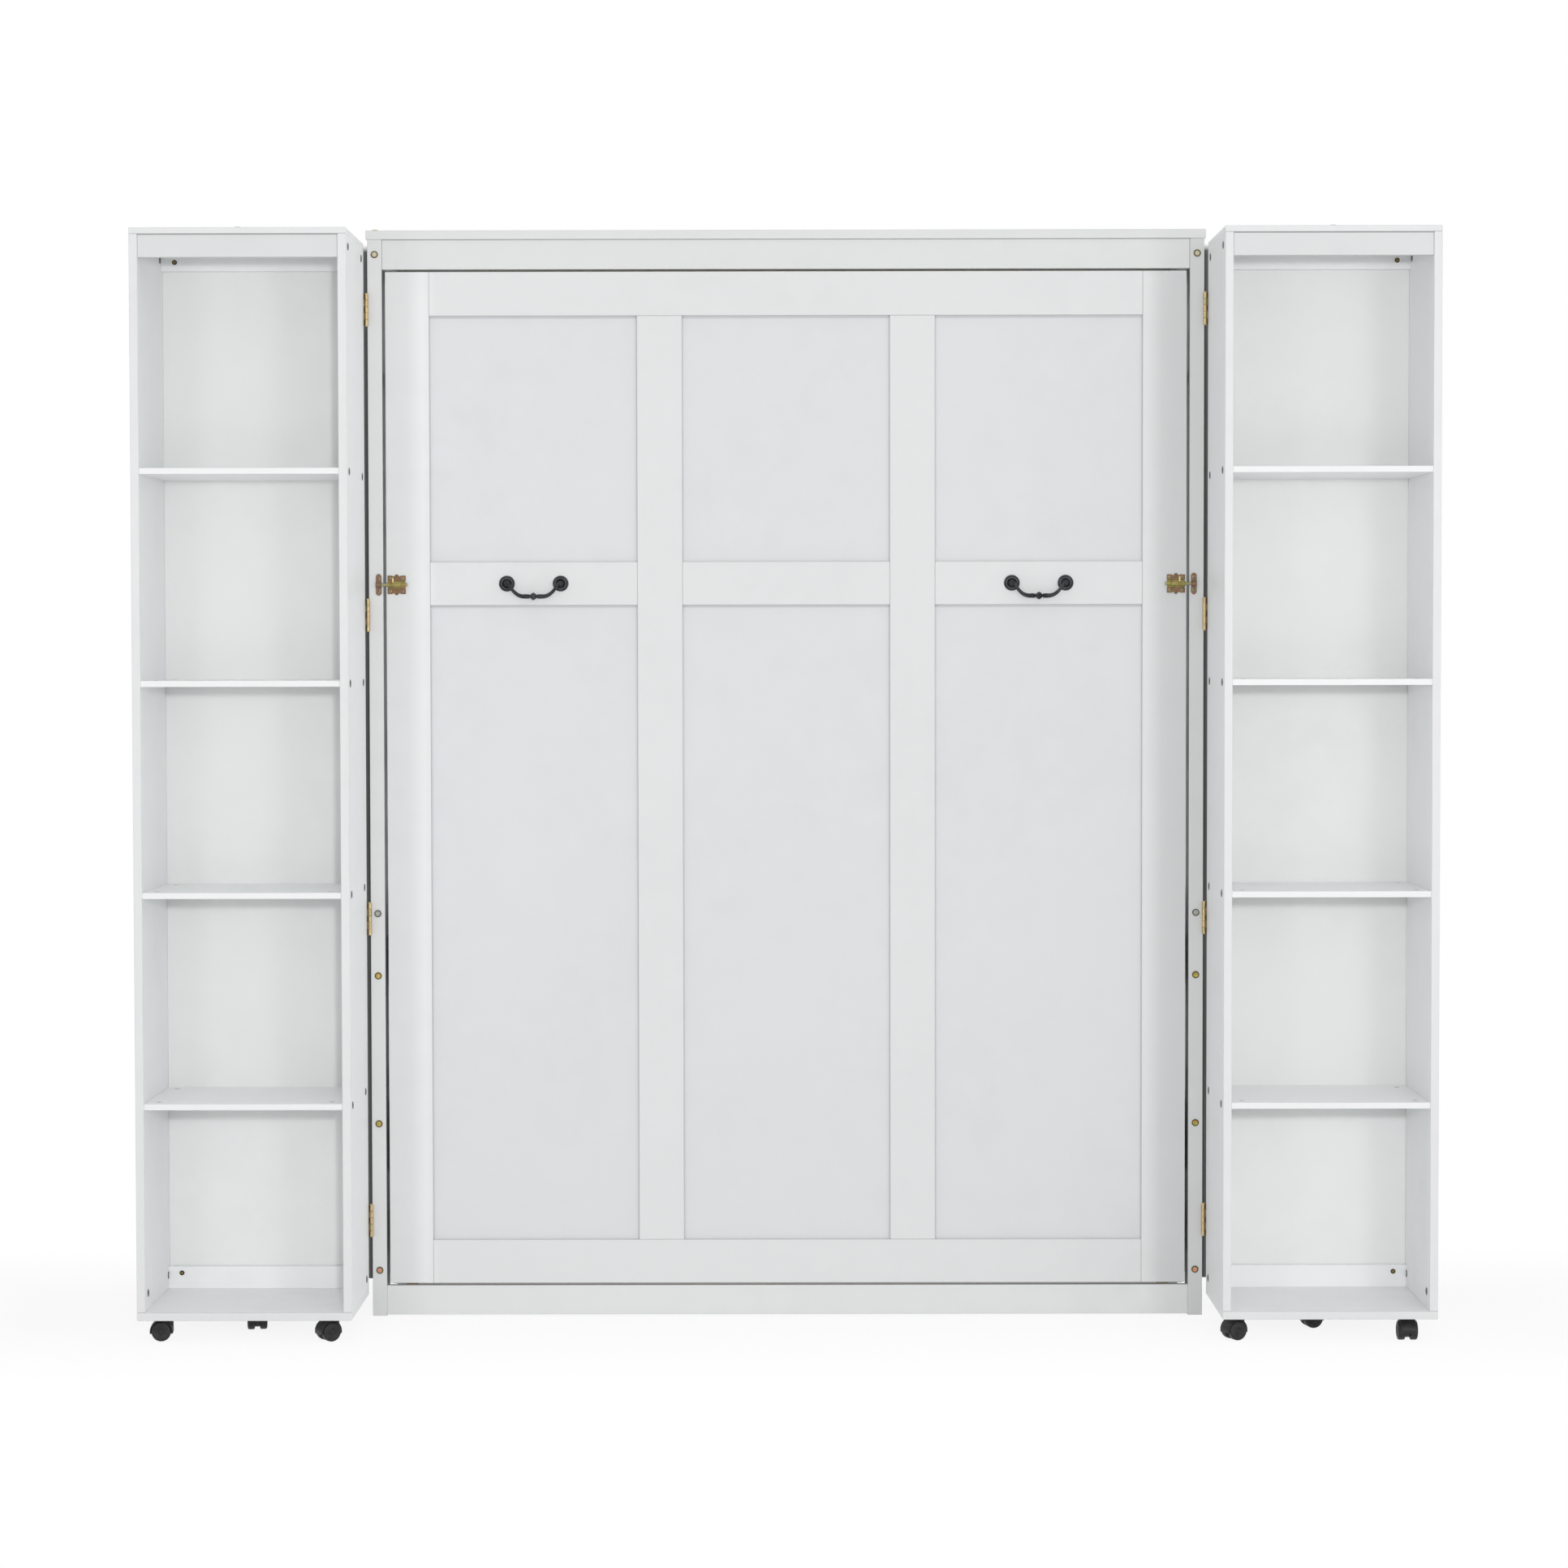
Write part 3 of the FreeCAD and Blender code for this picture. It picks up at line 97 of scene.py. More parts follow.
MIDDLE_RAIL = (HANDLE_Z - MIDDLE_RAIL_HALF, HANDLE_Z + MIDDLE_RAIL_HALF)
HOODS = tuple(f"{side}_{spot}" for side, _ in SIDES for spot in ("outer", "inner", "back"))


# Modelling helpers

MERGE = 1e-6


def pick(*pieces):
    """Select these pieces and nothing else."""
    if bpy.context.mode != "OBJECT":
        bpy.ops.object.mode_set(mode="OBJECT")
    bpy.ops.object.select_all(action="DESELECT")
    for piece in pieces:
        piece.select_set(True)
    if pieces:
        bpy.context.view_layer.objects.active = pieces[0]


def settle(piece):
    """Put the object at the origin, unturned and unscaled, with its place in its mesh."""
    pick(piece)
    bpy.ops.object.transform_apply(location=True, rotation=True, scale=True)
    return piece


def close_shell(piece, merge=True):
    """Merge doubled points, where asked, and turn every face outwards."""
    pick(piece)
    bpy.ops.object.mode_set(mode="EDIT")
    bpy.ops.mesh.select_all(action="SELECT")
    if merge:
        bpy.ops.mesh.remove_doubles(threshold=MERGE)
    bpy.ops.mesh.normals_make_consistent(inside=False)
    bpy.ops.object.mode_set(mode="OBJECT")


def remove(*pieces):
    """Delete patterns and tools that have done their work."""
    for piece in pieces:
        bpy.data.objects.remove(piece, do_unlink=True)


def use_modifier(piece, kind, **settings):
    """Add a modifier and apply it."""
    pick(piece)
    modifier = piece.modifiers.new(kind.title(), kind)
    for name, value in settings.items():
        setattr(modifier, name, value)
    bpy.ops.object.modifier_apply(modifier=modifier.name)
    return piece


def ease_edges(piece, width, segments=2, angle=35):
    """Round every edge that is sharper than the angle."""
    return use_modifier(piece, "BEVEL", width=width, segments=segments, limit_method="ANGLE",
                        angle_limit=radians(angle), harden_normals=False)


def block(name, low, high, ease=0.0, segments=2):
    """A cube stretched between two corners, with its edges rounded."""
    pick()
    middle = [(a + b) / 2 for a, b in zip(low, high)]
    bpy.ops.mesh.primitive_cube_add(size=1, location=middle)
    piece = bpy.context.object
    piece.name = name
    piece.scale = [b - a for a, b in zip(low, high)]
    settle(piece)
    return ease_edges(piece, ease, segments) if ease else piece


def bar(name, start, direction, radius, length, steps=32, ease=0.0):
    """A round bar from a point along a direction."""
    pick()
    along = Vector(direction).normalized()
    middle = Vector(start) + along * length / 2
    turn = along.to_track_quat("Z", "Y").to_euler()
    bpy.ops.mesh.primitive_cylinder_add(vertices=steps, radius=radius, depth=length,
                                        location=middle, rotation=turn)
    piece = bpy.context.object
    piece.name = name
    settle(piece)
    return ease_edges(piece, ease) if ease else piece


def spun(name, profile, centre=(0, 0, 0), direction=(0, 0, 1), steps=32):
    """A profile of (radius, distance along the axis) spun once round its axis."""
    pick()
    bpy.ops.mesh.primitive_plane_add(size=1, enter_editmode=True)
    bpy.ops.mesh.merge(type="CENTER")
    radius, along = profile[0]
    bpy.ops.transform.translate(value=(radius, 0, along))
    for (r0, a0), (r1, a1) in zip(profile, profile[1:]):
        bpy.ops.mesh.extrude_region_move(
            TRANSFORM_OT_translate={"value": (r1 - r0, 0, a1 - a0)})
    bpy.ops.mesh.select_all(action="SELECT")
    bpy.ops.mesh.spin(steps=steps, angle=2 * pi, center=(0, 0, 0), axis=(0, 0, 1))
    piece = bpy.context.object
    piece.name = name
    close_shell(piece)
    piece.rotation_euler = Vector(direction).to_track_quat("Z", "Y").to_euler()
    piece.location = centre
    return settle(piece)


def bent_rod(name, points, sides=16):
    """A round rod through points (x, y, z, radius), with closed ends."""
    curve = bpy.data.curves.new(name, "CURVE")
    curve.dimensions = "3D"
    curve.bevel_depth = 1.0
    curve.bevel_resolution = sides // 4 - 1
    curve.use_fill_caps = True
    line = curve.splines.new("POLY")
    line.points.add(len(points) - 1)
    for point, (x, y, z, radius) in zip(line.points, points):
        point.co = (x, y, z, 1)
        point.radius = radius
    piece = bpy.data.objects.new(name, curve)
    bpy.context.scene.collection.objects.link(piece)
    pick(piece)
    bpy.ops.object.convert(target="MESH")
    piece = bpy.context.object
    close_shell(piece)
    return piece


def carve(piece, *tools, operation="DIFFERENCE"):
    """Cut the tools out of a piece, or fuse them to it."""
    for tool in tools:
        use_modifier(piece, "BOOLEAN", operation=operation, object=tool, solver="EXACT")
        remove(tool)
    return piece


def joined(name, pieces):
    """Several meshes as one object."""
    pick(*pieces)
    if len(pieces) > 1:
        bpy.ops.object.join()
    piece = bpy.context.object
    piece.name = name
    return piece


def copied(piece, centre=(0, 0, 0), rotation=(0, 0, 0), flip=False):
    """A copy with its own mesh, turned about the origin and then moved."""
    pick(piece)
    bpy.ops.object.duplicate(linked=False)
    copy = bpy.context.object
    copy.rotation_euler = rotation
    copy.location = centre
    if flip:
        copy.scale.x = -1
    settle(copy)
    if flip:
        close_shell(copy, merge=False)
    return copy


def facing(direction, roll=0.0):
    """The rotation that turns +Z to a direction, after a roll about it."""
    turn = Vector(direction).to_track_quat("Z", "Y").to_matrix()
    return (turn @ Matrix.Rotation(roll, 3, "Z")).to_euler()


def spread(name, pattern, places):
    """Copies of a pattern at (point, direction, roll), joined, and the pattern removed."""
    copies = [copied(pattern, point, facing(direction, roll)) for point, direction, roll in places]
    remove(pattern)
    return joined(name, copies)


def coat(piece, *looks):
    """Give a piece these looks and no others."""
    piece.data.materials.clear()
    for look in looks:
        piece.data.materials.append(look)


def dress(piece, look, second, chosen):
    """Give a pattern its look, and a second one on the faces that are chosen."""
    coat(piece, look, second)
    for face in piece.data.polygons:
        face.material_index = int(chosen(face))
    return piece


def finish(piece, look, body, slot, *nodes, angle=32):
    """Give a finished piece its look, body and CAD nodes; slot is unused. A dressed piece keeps its
    looks.
    """
    settle(piece)
    if look:
        coat(piece, look)
        for face in piece.data.polygons:
            face.material_index = 0
    bpy.ops.object.shade_smooth_by_angle(angle=radians(angle))
    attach(piece, body)
    if nodes:
        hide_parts(*nodes)
    return piece


def arc(centre_r, centre_a, radius, start, end, steps):
    """Points of a round stretch of a profile, its angles in degrees."""
    turns = [radians(start + (end - start) * i / steps) for i in range(steps + 1)]
    return [(centre_r + radius * cos(t), centre_a + radius * sin(t)) for t in turns]


# Shader groups

DUST_COLOUR = (0.42, 0.40, 0.37, 1)
FINISH_OUTPUTS = (
    ("Colour", "NodeSocketColor"),
    ("Roughness", "NodeSocketFloat"),
    ("Height", "NodeSocketFloat"),
)


def new_group(name, inputs, outputs):
    """An empty node group with named sockets: (name, kind, default)."""
    group = bpy.data.node_groups.new(name, "ShaderNodeTree")
    for label, kind, default in inputs:
        socket = group.interface.new_socket(name=label, in_out="INPUT", socket_type=kind)
        if default is not None:
            socket.default_value = default
    for label, kind in outputs:
        group.interface.new_socket(name=label, in_out="OUTPUT", socket_type=kind)
    source = group.nodes.new("NodeGroupInput")
    target = group.nodes.new("NodeGroupOutput")
    return group, source.outputs, target.inputs


def add_node(tree, kind, settings=None, **links):
    """A node with its settings, and its inputs set to values or linked to sockets."""
    node = tree.nodes.new(kind)
    for name, value in (settings or {}).items():
        setattr(node, name, value)
    for name, value in links.items():
        key = int(name[1:]) if name[0] == "i" and name[1:].isdigit() else name.replace("_", " ")
        if isinstance(value, bpy.types.NodeSocket):
            tree.links.new(value, node.inputs[key])
        else:
            node.inputs[key].default_value = value
    return node


def noise(tree, vector, scale, detail=2.0, roughness=0.5):
    """Noise from 0 to 1, as one socket."""
    node = add_node(tree, "ShaderNodeTexNoise", Vector=vector, Scale=scale, Detail=detail,
                    Roughness=roughness)
    return node.outputs["Fac"]


def remap(tree, value, low, high, to_low=0.0, to_high=1.0):
    """A value's range stretched to another, and held inside it."""
    node = add_node(tree, "ShaderNodeMapRange", {"clamp": True}, i0=value, i1=low, i2=high,
                    i3=to_low, i4=to_high)
    return node.outputs[0]


def blend_colour(tree, share, first, second, kind="MIX"):
    """Two colours mixed by a share."""
    node = add_node(tree, "ShaderNodeMix", {"data_type": "RGBA", "blend_type": kind},
                    i0=share, i6=first, i7=second)
    return node.outputs[2]


def sums(tree, kind, first, second):
    """One step of arithmetic."""
    return add_node(tree, "ShaderNodeMath", {"operation": kind}, i0=first, i1=second).outputs[0]


def uneven_roughness(group, given, made, value, low, high, less, more):
    """Make a group's roughness follow a value, from a little less to a little more."""
    change = remap(group, value, low, high, less, more)
    group.links.new(sums(group, "ADD", given["Roughness"], change), made["Roughness"])


def paint_group():
    """Sprayed paint: a fine pebble, slow changes of tone, and a few specks of dust."""
    group, given, made = new_group("Sprayed paint", (
        ("Vector", "NodeSocketVector", None),
        ("Colour", "NodeSocketColor", (0.85, 0.85, 0.85, 1)),
        ("Shade", "NodeSocketColor", (0.80, 0.80, 0.80, 1)),
        ("Roughness", "NodeSocketFloat", 0.4),
        ("Pebble", "NodeSocketFloat", 900.0),
        ("Dust", "NodeSocketFloat", 0.3),
    ), FINISH_OUTPUTS)
    slow = remap(group, noise(group, given["Vector"], 2.3, 3.0, 0.55), 0.35, 0.68)
    cloud = remap(group, noise(group, given["Vector"], 14.0, 4.0, 0.6), 0.3, 0.75)
    tone = sums(group, "MULTIPLY", slow, cloud)
    base = blend_colour(group, tone, given["Colour"], given["Shade"])
    dots = add_node(group, "ShaderNodeTexVoronoi", {"feature": "F1"}, Vector=given["Vector"],
                    Scale=26.0, Randomness=1.0)
    speck = remap(group, dots.outputs["Distance"], 0.020, 0.010)
    rare = remap(group, noise(group, given["Vector"], 5.0, 1.0), 0.56, 0.62)
    dust = sums(group, "MULTIPLY", sums(group, "MULTIPLY", speck, rare), given["Dust"])
    group.links.new(blend_colour(group, dust, base, DUST_COLOUR), made["Colour"])
    uneven_roughness(group, given, made, cloud, 0.0, 1.0, -0.05, 0.07)
    pebble = noise(group, given["Vector"], given["Pebble"], 2.0, 0.6)
    wave = noise(group, given["Vector"], 60.0, 2.0)
    group.links.new(sums(group, "ADD", pebble, wave), made["Height"])
    return group


def zinc_group():
    """Passivated zinc: gold that turns to pink and olive, with brushed lines under it."""
    group, given, made = new_group("Passivated zinc", (
        ("Vector", "NodeSocketVector", None),
        ("Colour", "NodeSocketColor", (0.75, 0.55, 0.25, 1)),
        ("Warm tint", "NodeSocketColor", (0.70, 0.36, 0.28, 1)),
        ("Cool tint", "NodeSocketColor", (0.46, 0.50, 0.24, 1)),
        ("Roughness", "NodeSocketFloat", 0.3),
        ("Patch", "NodeSocketFloat", 110.0),
    ), FINISH_OUTPUTS)
    warm = noise(group, given["Vector"], given["Patch"], 3.0, 0.6)
    shifted = add_node(group, "ShaderNodeVectorMath", {"operation": "ADD"}, i0=given["Vector"],
                       i1=(3.1, 1.7, 5.3))
    cool = noise(group, shifted.outputs[0], given["Patch"], 2.0, 0.5)
    first = blend_colour(group, remap(group, warm, 0.46, 0.64), given["Colour"], given["Warm tint"])
    second = blend_colour(group, remap(group, cool, 0.52, 0.68), first, given["Cool tint"])
    group.links.new(second, made["Colour"])
    lines = add_node(group, "ShaderNodeMapping", Vector=given["Vector"], Scale=(150, 150, 2600))
    brush = noise(group, lines.outputs[0], 1.0, 3.0, 0.6)
    uneven_roughness(group, given, made, brush, 0.3, 0.7, -0.06, 0.12)
    group.links.new(brush, made["Height"])
    return group


def cast_group():
    """Dark plated casting: small pits and worn high spots."""
    group, given, made = new_group("Dark casting", (
        ("Vector", "NodeSocketVector", None),
        ("Colour", "NodeSocketColor", (0.05, 0.05, 0.055, 1)),
        ("Rubbed", "NodeSocketColor", (0.12, 0.12, 0.125, 1)),
        ("Roughness", "NodeSocketFloat", 0.4),
        ("Grain", "NodeSocketFloat", 900.0),
    ), FINISH_OUTPUTS)
    grain = noise(group, given["Vector"], given["Grain"], 4.0, 0.65)
    patch = remap(group, noise(group, given["Vector"], 70.0, 3.0), 0.42, 0.66)
    group.links.new(blend_colour(group, patch, given["Colour"], given["Rubbed"]), made["Colour"])
    uneven_roughness(group, given, made, grain, 0.3, 0.7, -0.08, 0.12)
    group.links.new(grain, made["Height"])
    return group


def grain_group():
    """Pale plywood: long grain along X, with darker pores and slow bands."""
    group, given, made = new_group("Plywood grain", (
        ("Vector", "NodeSocketVector", None),
        ("Colour", "NodeSocketColor", (0.72, 0.56, 0.36, 1)),
        ("Dark", "NodeSocketColor", (0.54, 0.38, 0.21, 1)),
        ("Roughness", "NodeSocketFloat", 0.6),
    ), FINISH_OUTPUTS)
    long = add_node(group, "ShaderNodeMapping", Vector=given["Vector"], Scale=(1.6, 38, 38))
    fine = add_node(group, "ShaderNodeMapping", Vector=given["Vector"], Scale=(14, 620, 620))
    band = remap(group, noise(group, long.outputs[0], 1.0, 4.0, 0.6), 0.32, 0.7)
    pores = remap(group, noise(group, fine.outputs[0], 1.0, 3.0, 0.7), 0.52, 0.74)
    base = blend_colour(group, band, given["Colour"], given["Dark"])
    share = sums(group, "MULTIPLY", pores, 0.45)
    group.links.new(blend_colour(group, share, base, given["Dark"]), made["Colour"])
    uneven_roughness(group, given, made, pores, 0.0, 1.0, -0.04, 0.12)
    group.links.new(sums(group, "SUBTRACT", band, pores), made["Height"])
    return group


def stretch_group():
    """A colour, lighter or darker inside a box, with soft ends."""
    group, given, made = new_group("Toned stretch", (
        ("Vector", "NodeSocketVector", None),
        ("Colour", "NodeSocketColor", (0.8, 0.8, 0.8, 1)),
        ("Low", "NodeSocketVector", None),
        ("High", "NodeSocketVector", None),
        ("Soft", "NodeSocketFloat", 0.001),
        ("Tone", "NodeSocketFloat", 0.8),
    ), (("Colour", "NodeSocketColor"),))
    above = add_node(group, "ShaderNodeVectorMath", {"operation": "SUBTRACT"}, i0=given["Vector"],
                     i1=given["Low"]).outputs[0]
    below = add_node(group, "ShaderNodeVectorMath", {"operation": "SUBTRACT"}, i0=given["High"],
                     i1=given["Vector"]).outputs[0]
    nearer = add_node(group, "ShaderNodeVectorMath", {"operation": "MINIMUM"}, i0=above, i1=below)
    parts = add_node(group, "ShaderNodeSeparateXYZ", Vector=nearer.outputs[0])
    depth = sums(group, "MINIMUM", parts.outputs["Y"], parts.outputs["Z"])
    depth = sums(group, "MINIMUM", parts.outputs["X"], depth)
    share = remap(group, sums(group, "DIVIDE", depth, given["Soft"]), -0.5, 0.5)
    change = sums(group, "MULTIPLY", share, sums(group, "SUBTRACT", given["Tone"], 1.0))
    level = sums(group, "ADD", change, 1.0)
    toned = add_node(group, "ShaderNodeVectorMath", {"operation": "SCALE"}, i0=given["Colour"],
                     Scale=level)
    group.links.new(toned.outputs[0], made["Colour"])
    return group


GROUP_MAKERS = {
    "paint": paint_group,
    "zinc": zinc_group,
    "cast": cast_group,
    "grain": grain_group,
    "stretch": stretch_group,
}
GROUPS = {}
LOOKS = {}
# Past everything, for a stretch that has no end on that side.
FAR = 9.0


def shader_group(kind):
    """A shader group, built when the first material asks for it."""
    if kind not in GROUPS:
        GROUPS[kind] = GROUP_MAKERS[kind]()
    return GROUPS[kind]


def stretch(tone, x=(-FAR, FAR), y=(-FAR, FAR), z=(-FAR, FAR), soft=0.4 * MM, mirror=True):
    """A box that is toned: x is measured from the middle to both sides, or from left to right."""
    return {"Low": (x[0], y[0], z[0]), "High": (x[1], y[1], z[1]), "Soft": soft, "Tone": tone,
            "mirror": mirror}


def toned(tree, colour, place, stretches):
    """A colour with its toned stretches, one group after another."""
    parts = add_node(tree, "ShaderNodeSeparateXYZ", Vector=place)
    both = add_node(tree, "ShaderNodeCombineXYZ", Y=parts.outputs["Y"], Z=parts.outputs["Z"],
                    X=sums(tree, "ABSOLUTE", parts.outputs["X"], 0.0))
    for values in stretches:
        node = add_node(tree, "ShaderNodeGroup", {"node_tree": shader_group("stretch")},
                        Colour=colour, Vector=both.outputs[0] if values["mirror"] else place)
        for label in ("Low", "High", "Soft", "Tone"):
            node.inputs[label].default_value = values[label]
        colour = node.outputs["Colour"]
    return colour


def surface(name, kind, bump, bump_depth, metallic=0.0, coat=0.0, specular=0.5, stretches=(),
            **values):
    """A material made of one shader group, its toned stretches and a Principled shader."""
    material = bpy.data.materials.new(name)
    material.use_nodes = True
    tree = material.node_tree
    shader = tree.nodes["Principled BSDF"]
    place = add_node(tree, "ShaderNodeTexCoord")
    group = add_node(tree, "ShaderNodeGroup", {"node_tree": shader_group(kind)})
    tree.links.new(place.outputs["Object"], group.inputs["Vector"])
    for label, value in values.items():
        group.inputs[label.replace("_", " ")].default_value = value
    relief = add_node(tree, "ShaderNodeBump", Strength=bump, Distance=bump_depth,
                      Height=group.outputs["Height"])
    colour = group.outputs["Colour"]
    if stretches:
        colour = toned(tree, colour, place.outputs["Object"], stretches)
    tree.links.new(colour, shader.inputs["Base Color"])
    tree.links.new(group.outputs["Roughness"], shader.inputs["Roughness"])
    tree.links.new(relief.outputs["Normal"], shader.inputs["Normal"])
    shader.inputs["Metallic"].default_value = metallic
    shader.inputs["Coat Weight"].default_value = coat
    shader.inputs["Specular IOR Level"].default_value = specular
    return material


def with_alpha(colour, share=1.0):
    """A colour, darkened to a share, with its alpha."""
    return (colour[0] * share, colour[1] * share, colour[2] * share, 1.0)


# Settings

def length_of(label, words, value):
    """A length that a user can change."""
    return FloatProperty(name=label, description=words, default=value, min=0, precision=5,
                         unit="LENGTH")


def colour_of(label, words, value):
    """A colour that a user can change."""
    return FloatVectorProperty(name=label, description=words, default=value, min=0, max=1,
                               subtype="COLOR", size=3)


def place_of(label, words, value):
    """A place that a user can change."""
    return FloatVectorProperty(name=label, description=words, default=value,
                               subtype="TRANSLATION", unit="LENGTH")


def power_of(label, words, value):
    """A lamp's power that a user can change."""
    return FloatProperty(name=label, description=words, default=value, min=0, unit="POWER")


class WallBedFinishes(bpy.types.PropertyGroup):
    cabinet: colour_of("Cabinet paint", "White of the cabinet's boards", (0.686, 0.700, 0.693))
    post: colour_of("Post paint", "White of the front posts", (0.686, 0.694, 0.690))
    front: colour_of("Front paint", "White of the bed front's raised strips", (0.702, 0.708, 0.711))
    panel: colour_of("Panel paint", "White of the flat panel behind them", (0.678, 0.685, 0.699))
    case: colour_of("Bookcase paint", "White of the bookcases", (0.918, 0.926, 0.932))
    case_back: colour_of("Back panel", "White of the bookcases' back panels", (0.792, 0.810, 0.801))
    wood: colour_of("Slats", "Bare plywood of the slats", (0.70, 0.55, 0.36))
    zinc: colour_of("Yellow zinc", "Plating of bolts, hinges and latches", (0.61, 0.50, 0.14))
    hinge: colour_of("Hinge zinc", "Paler plating of the hinges", (0.64, 0.50, 0.27))
    pale: colour_of("Pale zinc", "Plating of the top bolt on each post", (0.66, 0.62, 0.50))
    latch: colour_of("Latch plates", "Plating of the barrel bolts' plates", (0.215, 0.145, 0.075))
    barrel: colour_of("Latch barrels", "Plating of the barrels", (0.36, 0.31, 0.11))
    silver: colour_of("Silver zinc", "Plating of one bolt on each post", (0.50, 0.50, 0.44))
    copper: colour_of("Copper zinc", "Plating of the lowest bolts", (0.66, 0.34, 0.24))
    graphite: colour_of("Handles", "Dark plating of the handles", (0.020, 0.021, 0.023))
    plastic: colour_of("Casters", "Black plastic of the casters", (0.012, 0.012, 0.013))
    steel: colour_of("Steel parts", "Powder coat of arms, plates and leg", (0.030, 0.030, 0.033))


class WallBedHandles(bpy.types.PropertyGroup):
    rose_radius: length_of("Rose radius", "Radius of a round rose", 16 * MM)
    stand: length_of("Stand-off", "From the front to the bail's pins", 16 * MM)
    ball: length_of("Ball radius", "Radius of the ball that holds a pin", 4.0 * MM)
    drop: length_of("Drop", "From the pins to the grip", 25.9 * MM)
    thin: length_of("Thin radius", "Radius of the bail at its ends", 2.8 * MM)
    thick: length_of("Grip radius", "Radius of the bail at its collars", 4.6 * MM)
    bead: length_of("Bead radius", "Radius of the bead in the middle", 7.5 * MM)


class WallBedLatches(bpy.types.PropertyGroup):
    plate_width: length_of("Plate width", "Width of the bolt's plate", 36.5 * MM)
    plate_height: length_of("Plate height", "Height of the bolt's plate", 37 * MM)
    plate_thick: length_of("Plate thickness", "Thickness of the pressed plates", 1.5 * MM)
    barrel: length_of("Barrel radius", "Outer radius of the barrel", 5.2 * MM)
    rod: length_of("Rod radius", "Radius of the sliding rod", 2.9 * MM)
    keeper_width: length_of("Keeper width", "Width of the keeper", 11.4 * MM)
    keeper_height: length_of("Keeper height", "Height of the keeper", 36 * MM)
    screw_rise: length_of("Screw rise", "From the rod to a screw", 12.2 * MM)


class WallBedFixings(bpy.types.PropertyGroup):
    head: length_of("Bolt head radius", "Radius of the flat bolt heads", 7.3 * MM)
    cleat_head: length_of("Cleat head radius", "Radius of the heads in the cleats", 5.0 * MM)
    margin: length_of("Bolt margin", "From a side board's edge to its bolt", 31 * MM)
    cleat_inset: length_of("Cleat inset", "From a side panel to a cleat's bolt", 27 * MM)
    cleat_low: length_of("Low cleat bolts", "From the base board to the low cleat's bolts", 32 * MM)
    cleat_high: length_of("High cleat bolts", "From the top board to the high cleat's bolts",
                          27 * MM)
    case_front: length_of("Front bolts", "From a side panel's front edge to its bolts", 36 * MM)
    case_back: length_of("Back bolts", "From a side panel's back edge to its bolts", 42 * MM)
    cam: length_of("Cam radius", "Radius of the shelves' cam locks", 5.5 * MM)


class WallBedCasters(bpy.types.PropertyGroup):
    wheel: length_of("Wheel radius", "Radius of the twin wheels", 19 * MM)
    half_width: length_of("Half width", "From the middle to a wheel's outer face", 19.5 * MM)
    wheel_in: length_of("Wheel gap", "From the middle to a wheel's inner face", 5.0 * MM)
    hood: length_of("Hood radius", "Outer radius of the hood", 22.5 * MM)
    hood_half: length_of("Hood half width", "Half of the hood's width", 15.5 * MM)
    hood_drop: length_of("Hood drop", "How far the hood reaches below the axle", 4.5 * MM)
    web_drop: length_of("Web drop", "How far the web between the wheels reaches down", 14 * MM)


class WallBedStage(bpy.types.PropertyGroup):
    camera_place: place_of("Camera place", "Where the camera stands", (0.0103, -7.6402, 1.3485))
    camera_turn: FloatVectorProperty(name="Camera turn", description="How the camera is turned",
                                     default=(radians(87.95), radians(0.096), radians(0.113)),
                                     subtype="EULER")
    lens: FloatProperty(name="Lens", description="Focal length in mm", default=86.23, min=1)
    front_lamp: power_of("Front lamp", "Power of the lamp beside the camera", 128.0)
    front_place: place_of("Front place", "Where the front lamp stands", (0.3, -7.5, 1.77))
    front_size: length_of("Front size", "Width of the front lamp", 0.3)
    right_lamp: power_of("Right lamp", "Power of the lamp on the right", 45.0)
    left_lamp: power_of("Left lamp", "Power of the lamp on the left", 26.0)
    lamp_place: place_of("Lamp place", "Where the right lamp stands", (3.0, -7.2, 1.77))
    lamp_size: length_of("Lamp size", "Width of the two side lamps", 1.2)
    room_light: FloatProperty(name="Room light", default=0.57, min=0,
                              description="Share of a white board's tone that the room gives")
    room_lean: FloatVectorProperty(name="Room lean", default=(0.16, -0.12, 0.16),
                                   description="How much lighter the room is on each side")


SETTINGS = {
    "wall_bed_finishes": WallBedFinishes,
    "wall_bed_handles": WallBedHandles,
    "wall_bed_latches": WallBedLatches,
    "wall_bed_fixings": WallBedFixings,
    "wall_bed_casters": WallBedCasters,
    "wall_bed_stage": WallBedStage,
}


# Joints and shaded stretches of the painted boards

HAIRLINE = 0.8 * MM
HAIRLINE_TONE = 0.80
CASE_HAIRLINE_TONE = 0.82
SKIN = 1 * MM
# Painted shade on the bookcases' front edges.
FRONT_EDGE_SHADE = 0.79
# Painted shade on the bookcases' inner side faces, and painted light that lifts the left one.
SIDE_FACE_SHADE, LEFT_FACE_LIGHT = 0.97, 1.05
# Light that falls across the two stiles: its tone, where it starts and ends, and its softness.
STILE_LIGHT = (
    (0.88, 0.740, FAR, 30 * MM),
    (0.98, -FAR, -0.7725, 55 * MM),
    (1.10, -0.745, -RAIL_END, 30 * MM),
)
# Painted shade in the creases of the panel: under the rails, and beside the uprights.
PANEL_RAIL_SHADE, PANEL_RAIL_SHADE_TONE, PANEL_RAIL_SHADE_SOFT = 5 * MM, 0.82, 3 * MM
PANEL_SIDE_SHADE, PANEL_SIDE_SHADE_TONE, PANEL_SIDE_SHADE_SOFT = 2 * MM, 0.90, 1.5 * MM
# The valance in painted shade, its dark joints, and the high cleat in painted shadow.
VALANCE_DEEP, VALANCE_SHADE = 20 * MM, 0.75
VALANCE_JOINT, VALANCE_JOINT_TONE = 1.5 * MM, 0.80
TOP_JOINT, TOP_JOINT_TONE = 2.4 * MM, 0.55
HIGH_CLEAT_SHADE, HIGH_CLEAT_FROM = 0.94, 1.5
